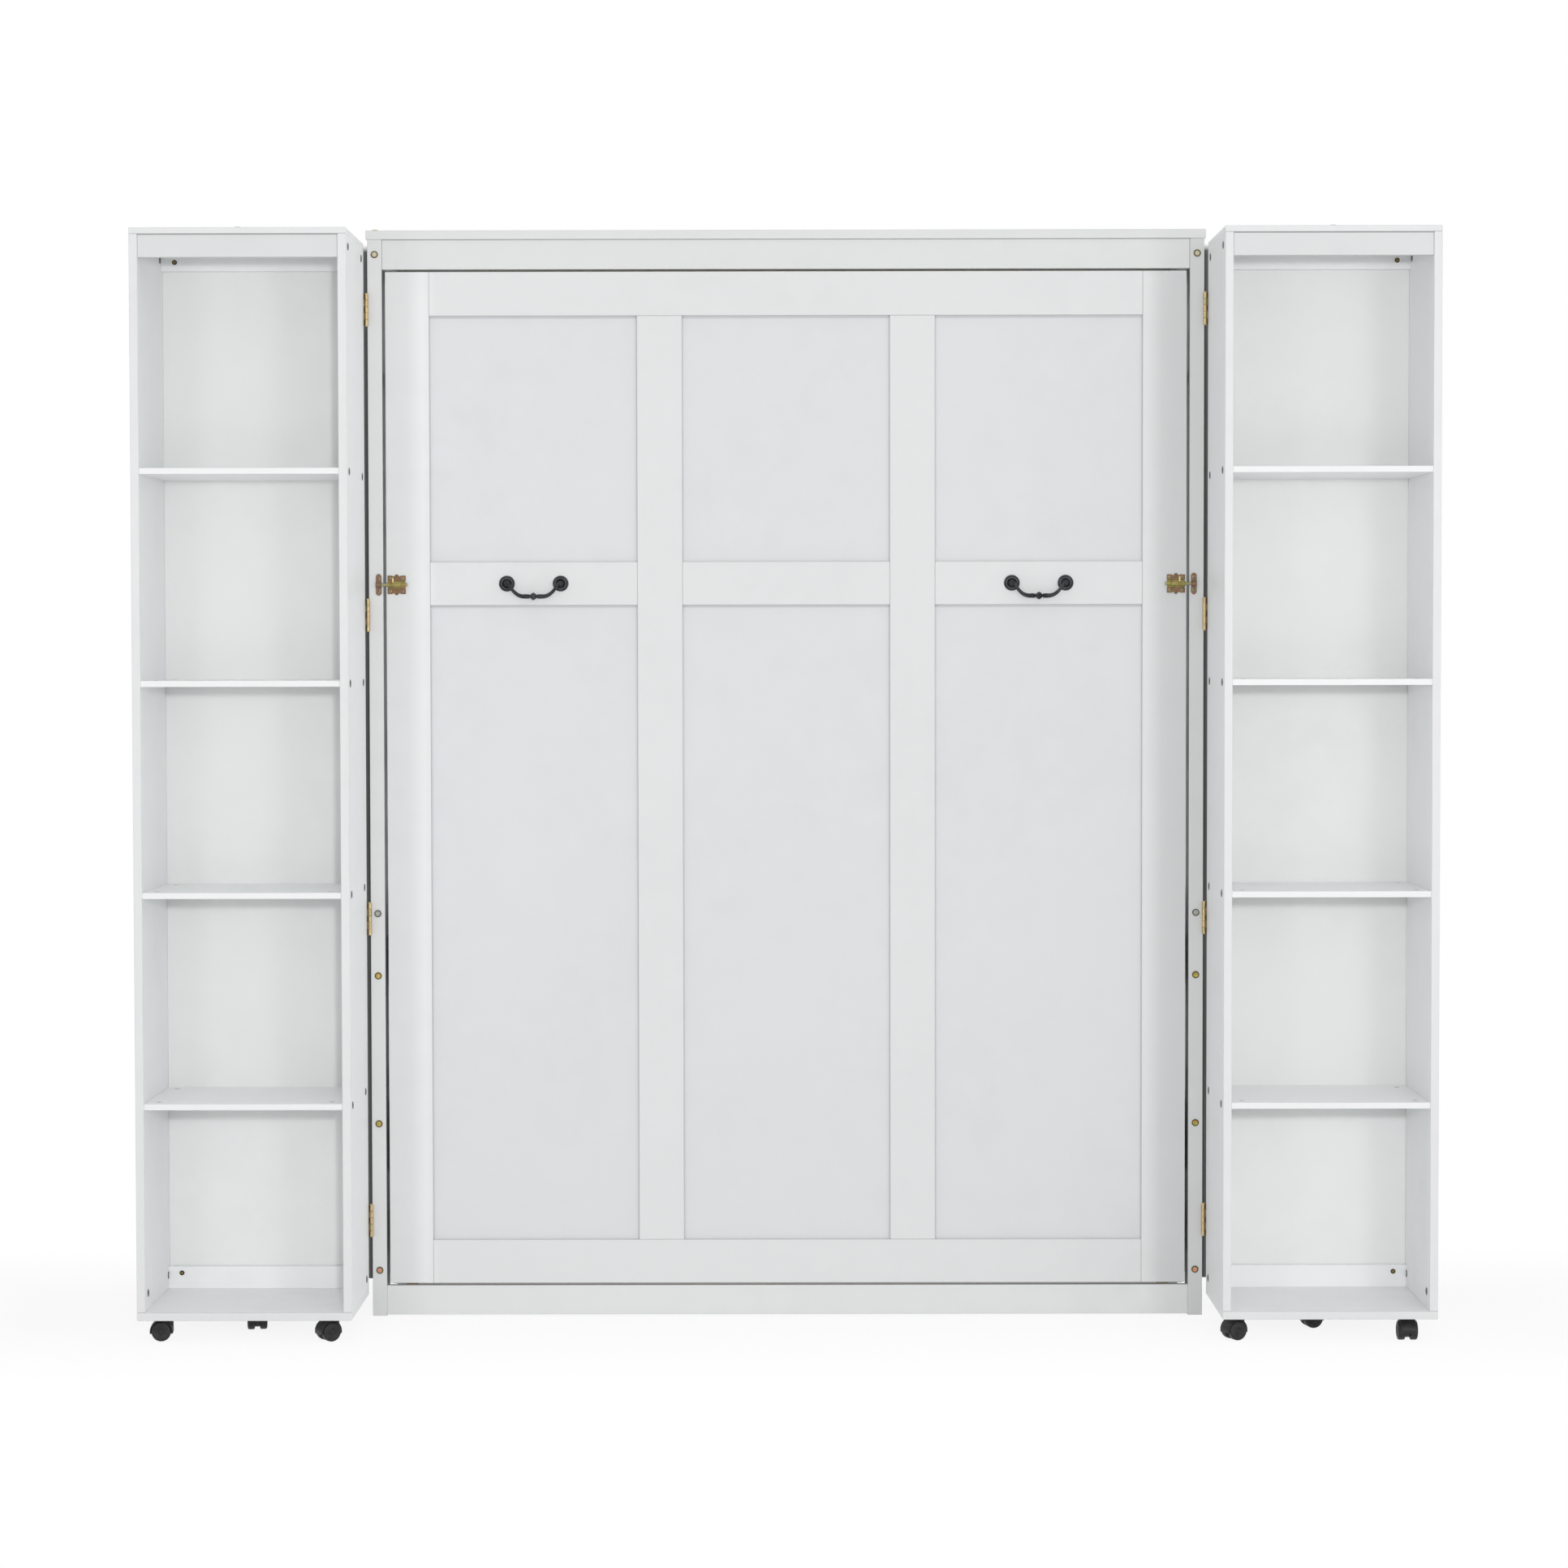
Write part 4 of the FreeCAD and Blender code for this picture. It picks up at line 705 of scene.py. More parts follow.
# The cabinet: a dark joint over the header, and painted light on the plinth, as from the floor.
HEADER_JOINT_TONE = 0.66
PLINTH_LIGHT, PLINTH_TOP = 1.03, 0.1
# The posts: the right one in painted shade, and both with painted shade on their inner edges.
RIGHT_POST_SHADE, RIGHT_POST_SOFT = 0.915, 20 * MM
POST_EDGE, POST_EDGE_SHADE = 0.3 * MM, 0.65
# The bookcases: shelves, rails and back panels with painted light and shade.
# Shelves painted lighter and rails darker than the bookcase paint.
SHELF_LIGHT, CASE_RAIL_SHADE = 1.035, 0.965
# Painted shade on the shelves' front edges.
SHELF_EDGE, SHELF_EDGE_SHADE = 3 * MM, 0.85
# Painted light at the foot of the back panels.
BACK_FOOT_LIGHT, BACK_FOOT_TOP, BACK_FOOT_SOFT = 1.06, 0.45, 20 * MM


def around(place):
    """The span of a hairline about its middle."""
    return place - HAIRLINE, place + HAIRLINE


def front_joints_and_stile_light():
    """Dark hairlines where the front's strips meet, and the bookcases' shade on the stiles."""
    lines = [stretch(HAIRLINE_TONE, x=around(RAIL_END))]
    lines += [stretch(HAIRLINE_TONE, x=around(edge), z=(RAIL_LOW, RAIL_HIGH))
              for edge in (MULLION_IN, MULLION_OUT)]
    lines += [stretch(HAIRLINE_TONE, x=(0, RAIL_END), z=around(z)) for z in (RAIL_LOW, RAIL_HIGH)]
    for z in MIDDLE_RAIL:
        for span in ((0, MULLION_IN), (MULLION_OUT, RAIL_END)):
            lines.append(stretch(HAIRLINE_TONE, x=span, z=around(z)))
    lines += [stretch(tone, x=(low, high), soft=soft, mirror=False)
              for tone, low, high, soft in STILE_LIGHT]
    return lines


def panel_shade():
    """Painted shade in the creases of the panel under the rails and beside the uprights."""
    lines = [stretch(PANEL_RAIL_SHADE_TONE, x=(0, RAIL_END), z=(z - PANEL_RAIL_SHADE, z),
                     soft=PANEL_RAIL_SHADE_SOFT) for z in (RAIL_HIGH, MIDDLE_RAIL[0])]
    spans = ((RAIL_END - PANEL_SIDE_SHADE, RAIL_END), (MULLION_IN - PANEL_SIDE_SHADE, MULLION_IN),
             (MULLION_OUT, MULLION_OUT + PANEL_SIDE_SHADE))
    return lines + [stretch(PANEL_SIDE_SHADE_TONE, x=span, soft=PANEL_SIDE_SHADE_SOFT) for span in spans]


def case_shade_and_joints():
    """The inner side faces in painted shade, the left one with painted light, and the sides' edges.
    """
    faces = [stretch(SIDE_FACE_SHADE, x=(-FAR, CASE_IN + SKIN)),
             stretch(LEFT_FACE_LIGHT, x=(-CASE_IN - SKIN, 0), mirror=False)]
    return faces + end_shade_and_joints()


def valance_shade_and_joints():
    """The valance in painted shade, dark joints at its top and sides, and the high cleat's painted
    shadow.
    """
    face = (-FAR, CASE_FRONT + VALANCE_DEEP)
    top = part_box("right_case_rails")[1].z
    inner, outer = CASE_IN + CASE_WALL, CASE_OUT - CASE_WALL
    return [stretch(VALANCE_SHADE, y=face),
            stretch(HIGH_CLEAT_SHADE, y=(face[1], FAR), z=(HIGH_CLEAT_FROM, FAR)),
            stretch(TOP_JOINT_TONE, y=face, z=(top - TOP_JOINT, FAR)),
            stretch(VALANCE_JOINT_TONE, x=(inner, inner + VALANCE_JOINT), y=face),
            stretch(VALANCE_JOINT_TONE, x=(outer - VALANCE_JOINT, outer), y=face)]


def end_shade_and_joints():
    """The bookcases' front edges in painted shade, with fine dark lines where the sides end."""
    face = (-FAR, CASE_FRONT + SKIN)
    low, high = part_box("right_case_sides")
    lines = [stretch(CASE_HAIRLINE_TONE, y=face, z=around(z)) for z in (low.z, high.z)]
    return [stretch(FRONT_EDGE_SHADE, y=face)] + lines


def painted(name, colour, rough=0.42, pebble=850.0, dust=0.25, stretches=()):
    """Sprayed paint of one colour, with its joints."""
    return surface(name, "paint", 0.08, 0.2 * MM, specular=0.4, stretches=stretches,
                   Colour=with_alpha(colour), Shade=with_alpha(colour, 0.955), Roughness=rough,
                   Pebble=pebble, Dust=dust)


def plated(name, colour, warm, cool, rough=0.34):
    """Zinc plating of one colour, with the two colours that it turns to."""
    return surface(name, "zinc", 0.10, 0.08 * MM, metallic=1.0, Colour=with_alpha(colour),
                   Warm_tint=with_alpha(warm), Cool_tint=with_alpha(cool), Roughness=rough)


def moulded(name, bump, depth, colour, rubbed, rough, grain, metallic=0.0, specular=0.5):
    """A casting, a moulding or a coat of one colour, with its worn places."""
    return surface(name, "cast", bump, depth, metallic=metallic, specular=specular,
                   Colour=colour, Rubbed=rubbed, Roughness=rough, Grain=grain)


def make_looks(finishes):
    """Every material of the object, by the name of its finish."""
    graphite, plastic, steel = finishes.graphite, finishes.plastic, finishes.steel
    LOOKS.update({
        "cabinet": painted("Cabinet paint", finishes.cabinet, stretches=(
            stretch(HEADER_JOINT_TONE, x=(0, POST_IN),
                    z=(HEADER_TOP - 2 * HAIRLINE, HEADER_TOP)),
            stretch(PLINTH_LIGHT, z=(-FAR, PLINTH_TOP)))),
        "post": painted("Post paint", finishes.post, stretches=(
            stretch(RIGHT_POST_SHADE, x=(0, FAR), soft=RIGHT_POST_SOFT, mirror=False),
            stretch(POST_EDGE_SHADE, x=(0, POST_IN + POST_EDGE)))),
        "front": painted("Front paint", finishes.front, 0.40, 760.0, 0.5, front_joints_and_stile_light()),
        "panel": painted("Panel paint", finishes.panel, 0.46, 620.0, 0.6, panel_shade()),
        "case": painted("Bookcase paint", finishes.case, 0.40, 980.0, 0.15, case_shade_and_joints()),
        "case_end": painted("Bookcase ends", finishes.case, 0.40, 980.0, 0.15, end_shade_and_joints()),
        "shelf": painted("Shelf paint", with_alpha(finishes.case, SHELF_LIGHT)[:3], 0.38, 980.0,
                         0.15, (stretch(SHELF_EDGE_SHADE, y=(-FAR, CASE_FRONT + SHELF_EDGE)),)),
        "case_rail": painted("Bookcase rails", with_alpha(finishes.case, CASE_RAIL_SHADE)[:3],
                             0.42, 980.0, 0.15, valance_shade_and_joints()),
        "case_back": painted("Bookcase back", finishes.case_back, 0.50, 700.0, 0.1,
                             (stretch(BACK_FOOT_LIGHT, z=(-FAR, BACK_FOOT_TOP),
                                      soft=BACK_FOOT_SOFT),)),
        "wood": surface("Plywood", "grain", 0.25, 0.3 * MM, specular=0.3,
                        Colour=with_alpha(finishes.wood), Dark=with_alpha(finishes.wood, 0.68),
                        Roughness=0.6),
        "zinc": plated("Yellow zinc", finishes.zinc, (0.55, 0.27, 0.08), (0.34, 0.33, 0.08), 0.28),
        # Painted shade for the rims and sides of the bolt heads.
        "rim_zinc": plated("Zinc rims", (0.17, 0.15, 0.06), (0.17, 0.10, 0.05), (0.12, 0.13, 0.05),
                           0.36),
        "pale": plated("Pale zinc", finishes.pale, (0.62, 0.50, 0.36), (0.56, 0.58, 0.42)),
        "hinge": plated("Hinge zinc", finishes.hinge, (0.56, 0.38, 0.22), (0.46, 0.43, 0.22)),
        # Painted shade for the hinges' faces that look outwards or forwards.
        "hinge_side": plated("Hinge sides", (0.11, 0.08, 0.04), (0.12, 0.07, 0.04),
                             (0.08, 0.08, 0.04), 0.40),
        "latch_plate": plated("Latch plates", finishes.latch, (0.31, 0.15, 0.11),
                              (0.17, 0.165, 0.075), 0.30),
        "latch_keeper": plated("Latch keepers", (0.27, 0.18, 0.12), (0.33, 0.16, 0.14),
                               (0.21, 0.19, 0.10), 0.30),
        "latch_barrel": plated("Latch barrels", finishes.barrel, (0.36, 0.23, 0.10),
                               (0.22, 0.26, 0.07), 0.28),
        "latch_rod": plated("Latch rods", (0.42, 0.39, 0.20), (0.42, 0.31, 0.16),
                            (0.31, 0.35, 0.15), 0.26),
        "latch_knob": plated("Latch knobs", (0.80, 0.62, 0.30), (0.72, 0.50, 0.26),
                             (0.66, 0.60, 0.28), 0.26),
        "latch_screw": plated("Latch screws", (0.42, 0.36, 0.22), (0.38, 0.26, 0.17),
                              (0.32, 0.32, 0.18), 0.30),
        # Painted shade for the latches' edges, ends and undersides, and the cleat bolts' rims.
        "latch_rim": plated("Latch rims", (0.060, 0.045, 0.025), (0.07, 0.035, 0.025),
                            (0.045, 0.05, 0.025), 0.36),
        "old_zinc": plated("Old zinc", (0.27, 0.21, 0.09), (0.24, 0.15, 0.07), (0.20, 0.20, 0.08)),
        "silver": plated("Silver zinc", finishes.silver, (0.44, 0.42, 0.35), (0.38, 0.42, 0.38)),
        "copper": plated("Copper zinc", finishes.copper, (0.70, 0.30, 0.26), (0.52, 0.36, 0.20)),
        "steel_bolt": plated("Bright zinc", (0.55, 0.56, 0.57), (0.50, 0.50, 0.50),
                             (0.58, 0.60, 0.62), 0.3),
        # Zinc painted dark as shade, for the bookcases' bolt heads and the silver bolts' rims.
        "dark_bolt": plated("Dark zinc", (0.16, 0.165, 0.17), (0.13, 0.13, 0.13),
                            (0.20, 0.21, 0.22)),
        # A painted highlight for the roses' rims and rings.
        "rubbed": moulded("Rubbed plating", 0.30, 0.1 * MM, with_alpha(graphite, 3.6),
                          with_alpha(graphite, 5.2), 0.36, 1500.0, metallic=0.6),
        "graphite": moulded("Handle plating", 0.35, 0.1 * MM, with_alpha(graphite),
                            with_alpha(graphite, 2.6), 0.40, 1500.0, metallic=0.55),
        "coated": moulded("Powder coat", 0.30, 0.1 * MM, with_alpha(steel),
                          with_alpha(steel, 1.5), 0.45, 1100.0, specular=0.45),
        "hood": moulded("Hood plastic", 0.18, 0.08 * MM, with_alpha(plastic),
                        with_alpha(plastic, 1.7), 0.36, 1300.0, specular=0.34),
        "wheel": moulded("Wheel plastic", 0.22, 0.08 * MM, with_alpha(plastic, 1.3),
                         with_alpha(plastic, 2.2), 0.42, 1000.0, specular=0.32),
        "rubber": moulded("Rubber sleeve", 0.4, 0.1 * MM, (0.02, 0.02, 0.02, 1),
                          (0.035, 0.035, 0.035, 1), 0.7, 800.0, specular=0.3),
        "chrome": moulded("Strut rod", 0.03, 0.02 * MM, (0.75, 0.76, 0.78, 1),
                          (0.68, 0.69, 0.71, 1), 0.16, 500.0, metallic=1.0),
    })


BOARD_LOOKS = {
    "cabinet": ("top_board", "header_board", "plinth_board", "rear_posts",
                "lower_side_boards", "middle_side_boards", "upper_side_rails", "rear_rails"),
    "post": ("front_posts",),
    "front": ("door_stiles", "door_rails", "door_mullions"),
    "panel": ("door_panel", "bed_box_boards"),
    "wood": ("bed_slats", "slat_supports"),
    "case": ("left_case_sides", "right_case_sides"),
    "case_end": ("left_case_ends", "right_case_ends"),
    "shelf": ("left_case_shelves", "right_case_shelves"),
    "case_rail": ("left_case_rails", "right_case_rails"),
    "case_back": ("left_case_back", "right_case_back"),
    "steel_bolt": ("left_case_sockets", "right_case_sockets"),
    "coated": ("pivot_plates", "strut_brackets", "pivot_arms", "leg_studs", "support_leg"),
}


class WALLBED_OT_finish_boards(bpy.types.Operator):
    """Give the boards and steel parts of the frame their finishes"""
    bl_idname = "wallbed.finish_boards"
    bl_label = "Finish the boards"

    def execute(self, context):
        make_looks(context.scene.wall_bed_finishes)
        # Only the boards' materials change: their meshes come from the frame as they are.
        for look, names in BOARD_LOOKS.items():
            for name in names:
                coat(frame["nodes"][name], LOOKS[look])
        return {"FINISHED"}


# Screws and bolts

RIM_SHARE = 0.72
CAP_RADIUS, CAP_RISE, CAP_INSET = 6.5 * MM, 2.4 * MM, 14 * MM


def on_rim(radius):
    """A choice of the faces on a head's rim and of those that look sideways, for painted shade."""
    return lambda face: face.center.to_2d().length > radius * RIM_SHARE or face.normal.z < 0.5


def flat_head(name, radius, tall, socket=0.42):
    """A flat connecting-bolt head with a rounded rim and a hexagon socket, facing +Z."""
    profile = [(0, -0.2 * MM), (radius * 0.98, -0.2 * MM), (radius, 0.1 * MM),
               (radius, tall * 0.45), (radius * 0.975, tall * 0.72), (radius * 0.93, tall * 0.90),
               (radius * 0.85, tall), (radius * 0.64, tall), (radius * 0.60, tall - 0.22 * MM),
               (0, tall - 0.22 * MM)]
    head = spun(name, profile, steps=28)
    hexagon = bar(f"{name}_socket", (0, 0, tall * 0.15), (0, 0, 1), radius * socket, tall * 2, 6)
    return carve(head, hexagon)


def cross_head(name, radius, tall):
    """A domed screw head with a cross recess, facing +Z."""
    dome = [(radius * cos(t), tall * (0.25 + 0.75 * sin(t)))
            for t in (radians(90 * i / 5) for i in range(6))]
    head = spun(name, [(0, -0.3 * MM), (radius, -0.3 * MM)] + dome, steps=20)
    reach, slot = radius * 0.62, radius * 0.13
    arms = [block(f"{name}_slot", (-reach, -slot, tall * 0.35), (reach, slot, tall * 2)),
            block(f"{name}_slot_across", (-slot, -reach, tall * 0.35), (slot, reach, tall * 2))]
    return carve(head, *arms)


def post_bolt_rows(fixings):
    """Heights of the posts' bolts, from the side boards that they hold, by plating."""
    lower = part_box("lower_side_boards")
    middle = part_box("middle_side_boards")
    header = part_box("header_board")
    return {
        "copper": [lower[0].z + fixings.margin],
        "silver": [middle[1].z - fixings.margin],
        "zinc": [lower[1].z - fixings.margin, middle[0].z + fixings.margin],
        "pale": [(header[0].z + header[1].z) / 2],
    }


class WALLBED_OT_make_bolts(bpy.types.Operator):
    """Model the bolt heads of the posts and the cap screw on the top board"""
    bl_idname = "wallbed.make_bolts"
    bl_label = "Post bolts"

    def execute(self, context):
        fixings = context.scene.wall_bed_fixings
        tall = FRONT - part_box("frame_bolts")[0].y
        for plating, heights in post_bolt_rows(fixings).items():
            places = []
            for index, height in enumerate(heights):
                for side, sign in SIDES:
                    roll = 0.4 * index + sign * 0.25
                    places.append(((sign * POST_MID, FRONT, height), (0, -1, 0), roll))
            head = flat_head("post_bolt", fixings.head, tall)
            # The heads' rims and sides get painted shade.
            rim = LOOKS["dark_bolt" if plating == "silver" else "rim_zinc"]
            dress(head, LOOKS[plating], rim, on_rim(fixings.head))
            heads = spread(f"post_bolts_{plating}", head, places)
            nodes = ("frame_bolts",) if plating == "zinc" else ()
            finish(heads, None, "frame", "yellow_zinc", *nodes)
        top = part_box("top_board")[1].z
        cap = flat_head("top_cap_screw", CAP_RADIUS, CAP_RISE)
        cap = spread("top_cap_screw", cap, [((-POST_MID, FRONT + CAP_INSET, top), (0, 0, 1), 0.3)])
        # The cap screw's sides get painted shade.
        dress(cap, LOOKS["zinc"], LOOKS["rim_zinc"], lambda face: face.normal.z < 0.5)
        finish(cap, None, "frame", "yellow_zinc")
        return {"FINISHED"}


CASE_HEAD_RISE, CLEAT_HEAD_RISE, CAM_RISE = 1.3 * MM, 1.2 * MM, 0.5 * MM
TOP_SCREW_RADIUS, TOP_SCREW_RISE, TOP_SCREW_INSET = 6.2 * MM, 1.8 * MM, 12 * MM
RAIL_BOLT_INSET = 22 * MM
CAM_INSET = 24 * MM
# Bolts at the corners inside a side: two over the base, and one under the top at the back.
FRONT_FOOT_RISE, BACK_FOOT_RISE, BACK_TOP_DROP = 33 * MM, 28 * MM, 24 * MM
BACK_FOOT_INSET, BACK_TOP_INSET = 24 * MM, 38 * MM


class WALLBED_OT_make_case_fixings(bpy.types.Operator):
    """Model the bolt heads, cam locks and top screws of the bookcases"""
    bl_idname = "wallbed.make_case_fixings"
    bl_label = "Bookcase fixings"

    def execute(self, context):
        fixings = context.scene.wall_bed_fixings
        for side, sign in SIDES:
            self.side_bolts(fixings, side, sign)
            self.cleat_bolts(fixings, side)
            self.cams(fixings, side)
            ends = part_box(f"{side}_case_ends")
            place = ((ends[0].x + ends[1].x) / 2, CASE_FRONT + TOP_SCREW_INSET, ends[1].z)
            screw = flat_head("top_screw", TOP_SCREW_RADIUS, TOP_SCREW_RISE)
            screw = spread(f"{side}_case_top_screw", screw, [(place, (0, 0, 1), 0.0)])
            finish(screw, LOOKS["steel_bolt"], f"{side}_bookcase", "socket_steel")
        return {"FINISHED"}

    def shelf_levels(self, side):
        """Heights of the shelves' middles, from the lowest and the highest."""
        low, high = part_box(f"{side}_case_shelves")
        pitch = (high.z - low.z - SHELF_THICK) / (SHELF_COUNT - 1)
        return [low.z + SHELF_THICK / 2 + pitch * index for index in range(SHELF_COUNT)]

    def side_bolts(self, fixings, side, sign):
        """The bolt heads on both faces of the sides: level with the shelves, and at the corners."""
        low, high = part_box(f"{side}_case_rails")
        front_y, back_y = CASE_FRONT + fixings.case_front, CASE_BACK - fixings.case_back
        rows = [(z, True) for z in self.shelf_levels(side)]
        rows += [(low.z + RAIL_BOLT_INSET, False), (high.z - RAIL_BOLT_INSET, True)]
        places = []
        for height, front in rows:
            for x, out in ((sign * CASE_IN, -sign), (sign * CASE_OUT, sign)):
                places.append(((x, back_y, height), (out, 0, 0), height * 7))
                if front:
                    places.append(((x, front_y, height), (out, 0, 0), height))
        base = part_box(f"{side}_case_sides")[0].z
        corners = ((front_y, base + FRONT_FOOT_RISE, 0.3),
                   (CASE_BACK - BACK_FOOT_INSET, base + BACK_FOOT_RISE, 0.7),
                   (CASE_BACK - BACK_TOP_INSET, high.z - BACK_TOP_DROP, 0.5))
        inner, outer = CASE_IN + CASE_WALL, CASE_OUT - CASE_WALL
        for x, out in ((sign * inner, sign), (sign * outer, -sign)):
            places += [((x, y, z), (out, 0, 0), roll) for y, z, roll in corners]
        heads = spread(f"{side}_case_bolts", flat_head("case_bolt", fixings.head, CASE_HEAD_RISE),
                       places)
        # The whole heads are painted dark as shade.
        finish(heads, LOOKS["dark_bolt"], f"{side}_bookcase", "yellow_zinc")

    def cleat_bolts(self, fixings, side):
        """The bolt heads in the two cleats under the top and on the base."""
        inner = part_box(f"{side}_case_back")
        low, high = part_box(f"{side}_case_rails")
        front = inner[0].y - CASE_WALL
        places = []
        for height in (low.z + fixings.cleat_low, high.z - fixings.cleat_high):
            for x in (inner[0].x + fixings.cleat_inset, inner[1].x - fixings.cleat_inset):
                places.append(((x, front, height), (0, -1, 0), x * 9))
        head = flat_head("cleat_bolt", fixings.cleat_head, CLEAT_HEAD_RISE)
        # The rims get painted shade.
        dress(head, LOOKS["old_zinc"], LOOKS["latch_rim"],
              lambda face: face.center.to_2d().length > fixings.cleat_head * RIM_SHARE)
        heads = spread(f"{side}_cleat_bolts", head, places)
        finish(heads, None, f"{side}_bookcase", "yellow_zinc")

    def cams(self, fixings, side):
        """The cam locks on top of all shelves but the highest."""
        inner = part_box(f"{side}_case_back")
        places = []
        for height in self.shelf_levels(side)[:-1]:
            for x in (inner[0].x + CAM_INSET, inner[1].x - CAM_INSET):
                for y in (CASE_FRONT + fixings.case_front, CASE_BACK - fixings.case_back):
                    places.append(((x, y, height + SHELF_THICK / 2), (0, 0, 1), x * 5 + y))
        cam = cross_head("cam_lock", fixings.cam, CAM_RISE)
        cams = spread(f"{side}_shelf_cams", cam, places)
        finish(cams, LOOKS["steel_bolt"], f"{side}_bookcase", "socket_steel")


# Handles

ROSE_RIM = 1.3 * MM
BALL_NECK_ANGLE = 42
BAIL_STEPS = 14


def rose_profile(shape):
    """A stepped rose with a rolled rim, a ring and a ball, from its back up its axis."""
    r = shape.rose_radius
    neck = shape.ball * sin(radians(BALL_NECK_ANGLE))
    ball_low = shape.stand - shape.ball * cos(radians(BALL_NECK_ANGLE))
    return ([(0, 0), (r * 0.98, 0)] + arc(r - ROSE_RIM, ROSE_RIM, ROSE_RIM, -20, 110, 6)
            + [(r * 0.86, 1.9 * MM), (r * 0.82, 2.2 * MM)]
            + arc(r * 0.66, 3.0 * MM, r * 0.13, 0, 150, 7)
            + [(r * 0.50, 3.6 * MM), (r * 0.46, 4.1 * MM)]
            + [(r * 0.40, 5.4 * MM), (r * 0.32, 6.9 * MM), (r * 0.23, 8.2 * MM)]
            + [(neck * 0.96, 9.6 * MM), (neck * 0.96, 11.4 * MM)]
            + [(neck, ball_low)]
            + arc(0, shape.stand, shape.ball, BALL_NECK_ANGLE - 90, 90, 12))


def bail_points(shape, half):
    """The bail's run in its own plane, from one pin to the collars: x, z and radius."""
    start = half - shape.ball
    drop = shape.drop
    hold = ((start - 0.5 * MM, -0.5 * MM), (start - 7 * MM, -0.54 * drop), (start - 17 * MM, -drop),
            (start - 31 * MM, -drop))
    points = [(start + 5 * MM, 0.0), (start + 0.6 * MM, 0.0)]
    for step in range(BAIL_STEPS + 1):
        s = step / BAIL_STEPS
        shares = ((1 - s) ** 3, 3 * s * (1 - s) ** 2, 3 * s * s * (1 - s), s ** 3)
        points.append(tuple(sum(k * point[axis] for k, point in zip(shares, hold))
                            for axis in (0, 1)))
    points.append((12 * MM, -drop))
    span = points[0][0] - points[-1][0]
    return [(x, z, shape.thin + (shape.thick - shape.thin) * ((points[0][0] - x) / span) ** 1.1)
            for x, z in points]


def bail_middle():
    """The collars of the grip's turned middle, as the profiles of its two ends."""
    rows = [(5.4, 0.0), (5.4, 2.4), (6.6, 2.9), (7.5, 3.1), (7.7, 4.0), (8.2, 4.5), (9.0, 4.6),
            (9.6, 4.2), (9.9, 3.6), (10.5, 3.5), (10.8, 4.1), (11.4, 4.6), (12.2, 4.7),
            (12.9, 4.4), (13.3, 4.0), (13.3, 0.0)]
    return [[(radius * MM, side * along * MM) for along, radius in rows] for side in (-1, 1)]


def bail_bead(shape):
    """The faceted bead in the middle of the grip."""
    rows = [(-6.4, 0.0), (-6.4, 0.34), (-5.0, 0.64), (-1.5, 0.97), (-0.6, 1.0),
            (0.6, 1.0), (1.5, 0.97), (5.0, 0.64), (6.4, 0.34), (6.4, 0.0)]
    return [(shape.bead * share, along * MM) for along, share in rows]


class WALLBED_OT_make_handles(bpy.types.Operator):
    """Model the roses and the drop bails of both handles"""
    bl_idname = "wallbed.make_handles"
    bl_label = "Handles"

    def execute(self, context):
        shape = context.scene.wall_bed_handles
        low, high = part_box("handle_roses")
        height = (low.z + high.z) / 2
        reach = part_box("right_handle_bail")
        centre = (reach[0].x + reach[1].x) / 2
        half = high.x - shape.rose_radius - centre
        places = [((sign * centre + end * half, FRONT, height), (0, -1, 0), 0.0)
                  for _, sign in SIDES for end in (-1, 1)]
        rose = spun("rose", rose_profile(shape), steps=48)
        # The rose's rim and ring get a painted highlight.
        dress(rose, LOOKS["graphite"], LOOKS["rubbed"],
              lambda face: self.rubbed(face.center.to_2d().length / shape.rose_radius))
        roses = spread("handle_rose_set", rose, places)
        finish(roses, None, "bed", "graphite", "handle_roses")
        for side, sign in SIDES:
            run = bail_points(shape, half)
            arms = [bent_rod(f"{side}_bail_arm", [(end * x, 0, z, radius) for x, z, radius in run],
                             20) for end in (-1, 1)]
            grip = [spun(f"{side}_bail_grip", rows, (0, 0, -shape.drop), (1, 0, 0), 32)
                    for rows in bail_middle()]
            bead = spun(f"{side}_bail_bead", bail_bead(shape), (0, 0, -shape.drop), (1, 0, 0), 8)
            bail = joined(f"{side}_bail_pull", arms + grip + [bead])
            bail.location = (sign * centre, FRONT - shape.stand, height)
            finish(bail, LOOKS["graphite"], f"{side}_handle_bail", "graphite",
                   f"{side}_handle_bail", angle=40)
        return {"FINISHED"}

    def rubbed(self, share):
        """Whether a share of the rose's radius is on the rim or the ring, which get painted
        highlight.
        """
        return share > 0.90 or 0.62 < share < 0.74


# Barrel bolts

SCREW_RADIUS, SCREW_RISE = 3.6 * MM, 1.1 * MM
PLATE_EASE, BARREL_EASE, LOOP_EASE = 0.7 * MM, 0.4 * MM, 0.5 * MM
CUT_LONG = 10 * MM
CUT_PAST = 1 * MM
BULGE_RADIUS, BULGE_INSET = 3.9 * MM, 1.4 * MM
KEEPER_BULGE_SHARE, KEEPER_BULGE_INSET = 0.46, 1.5 * MM
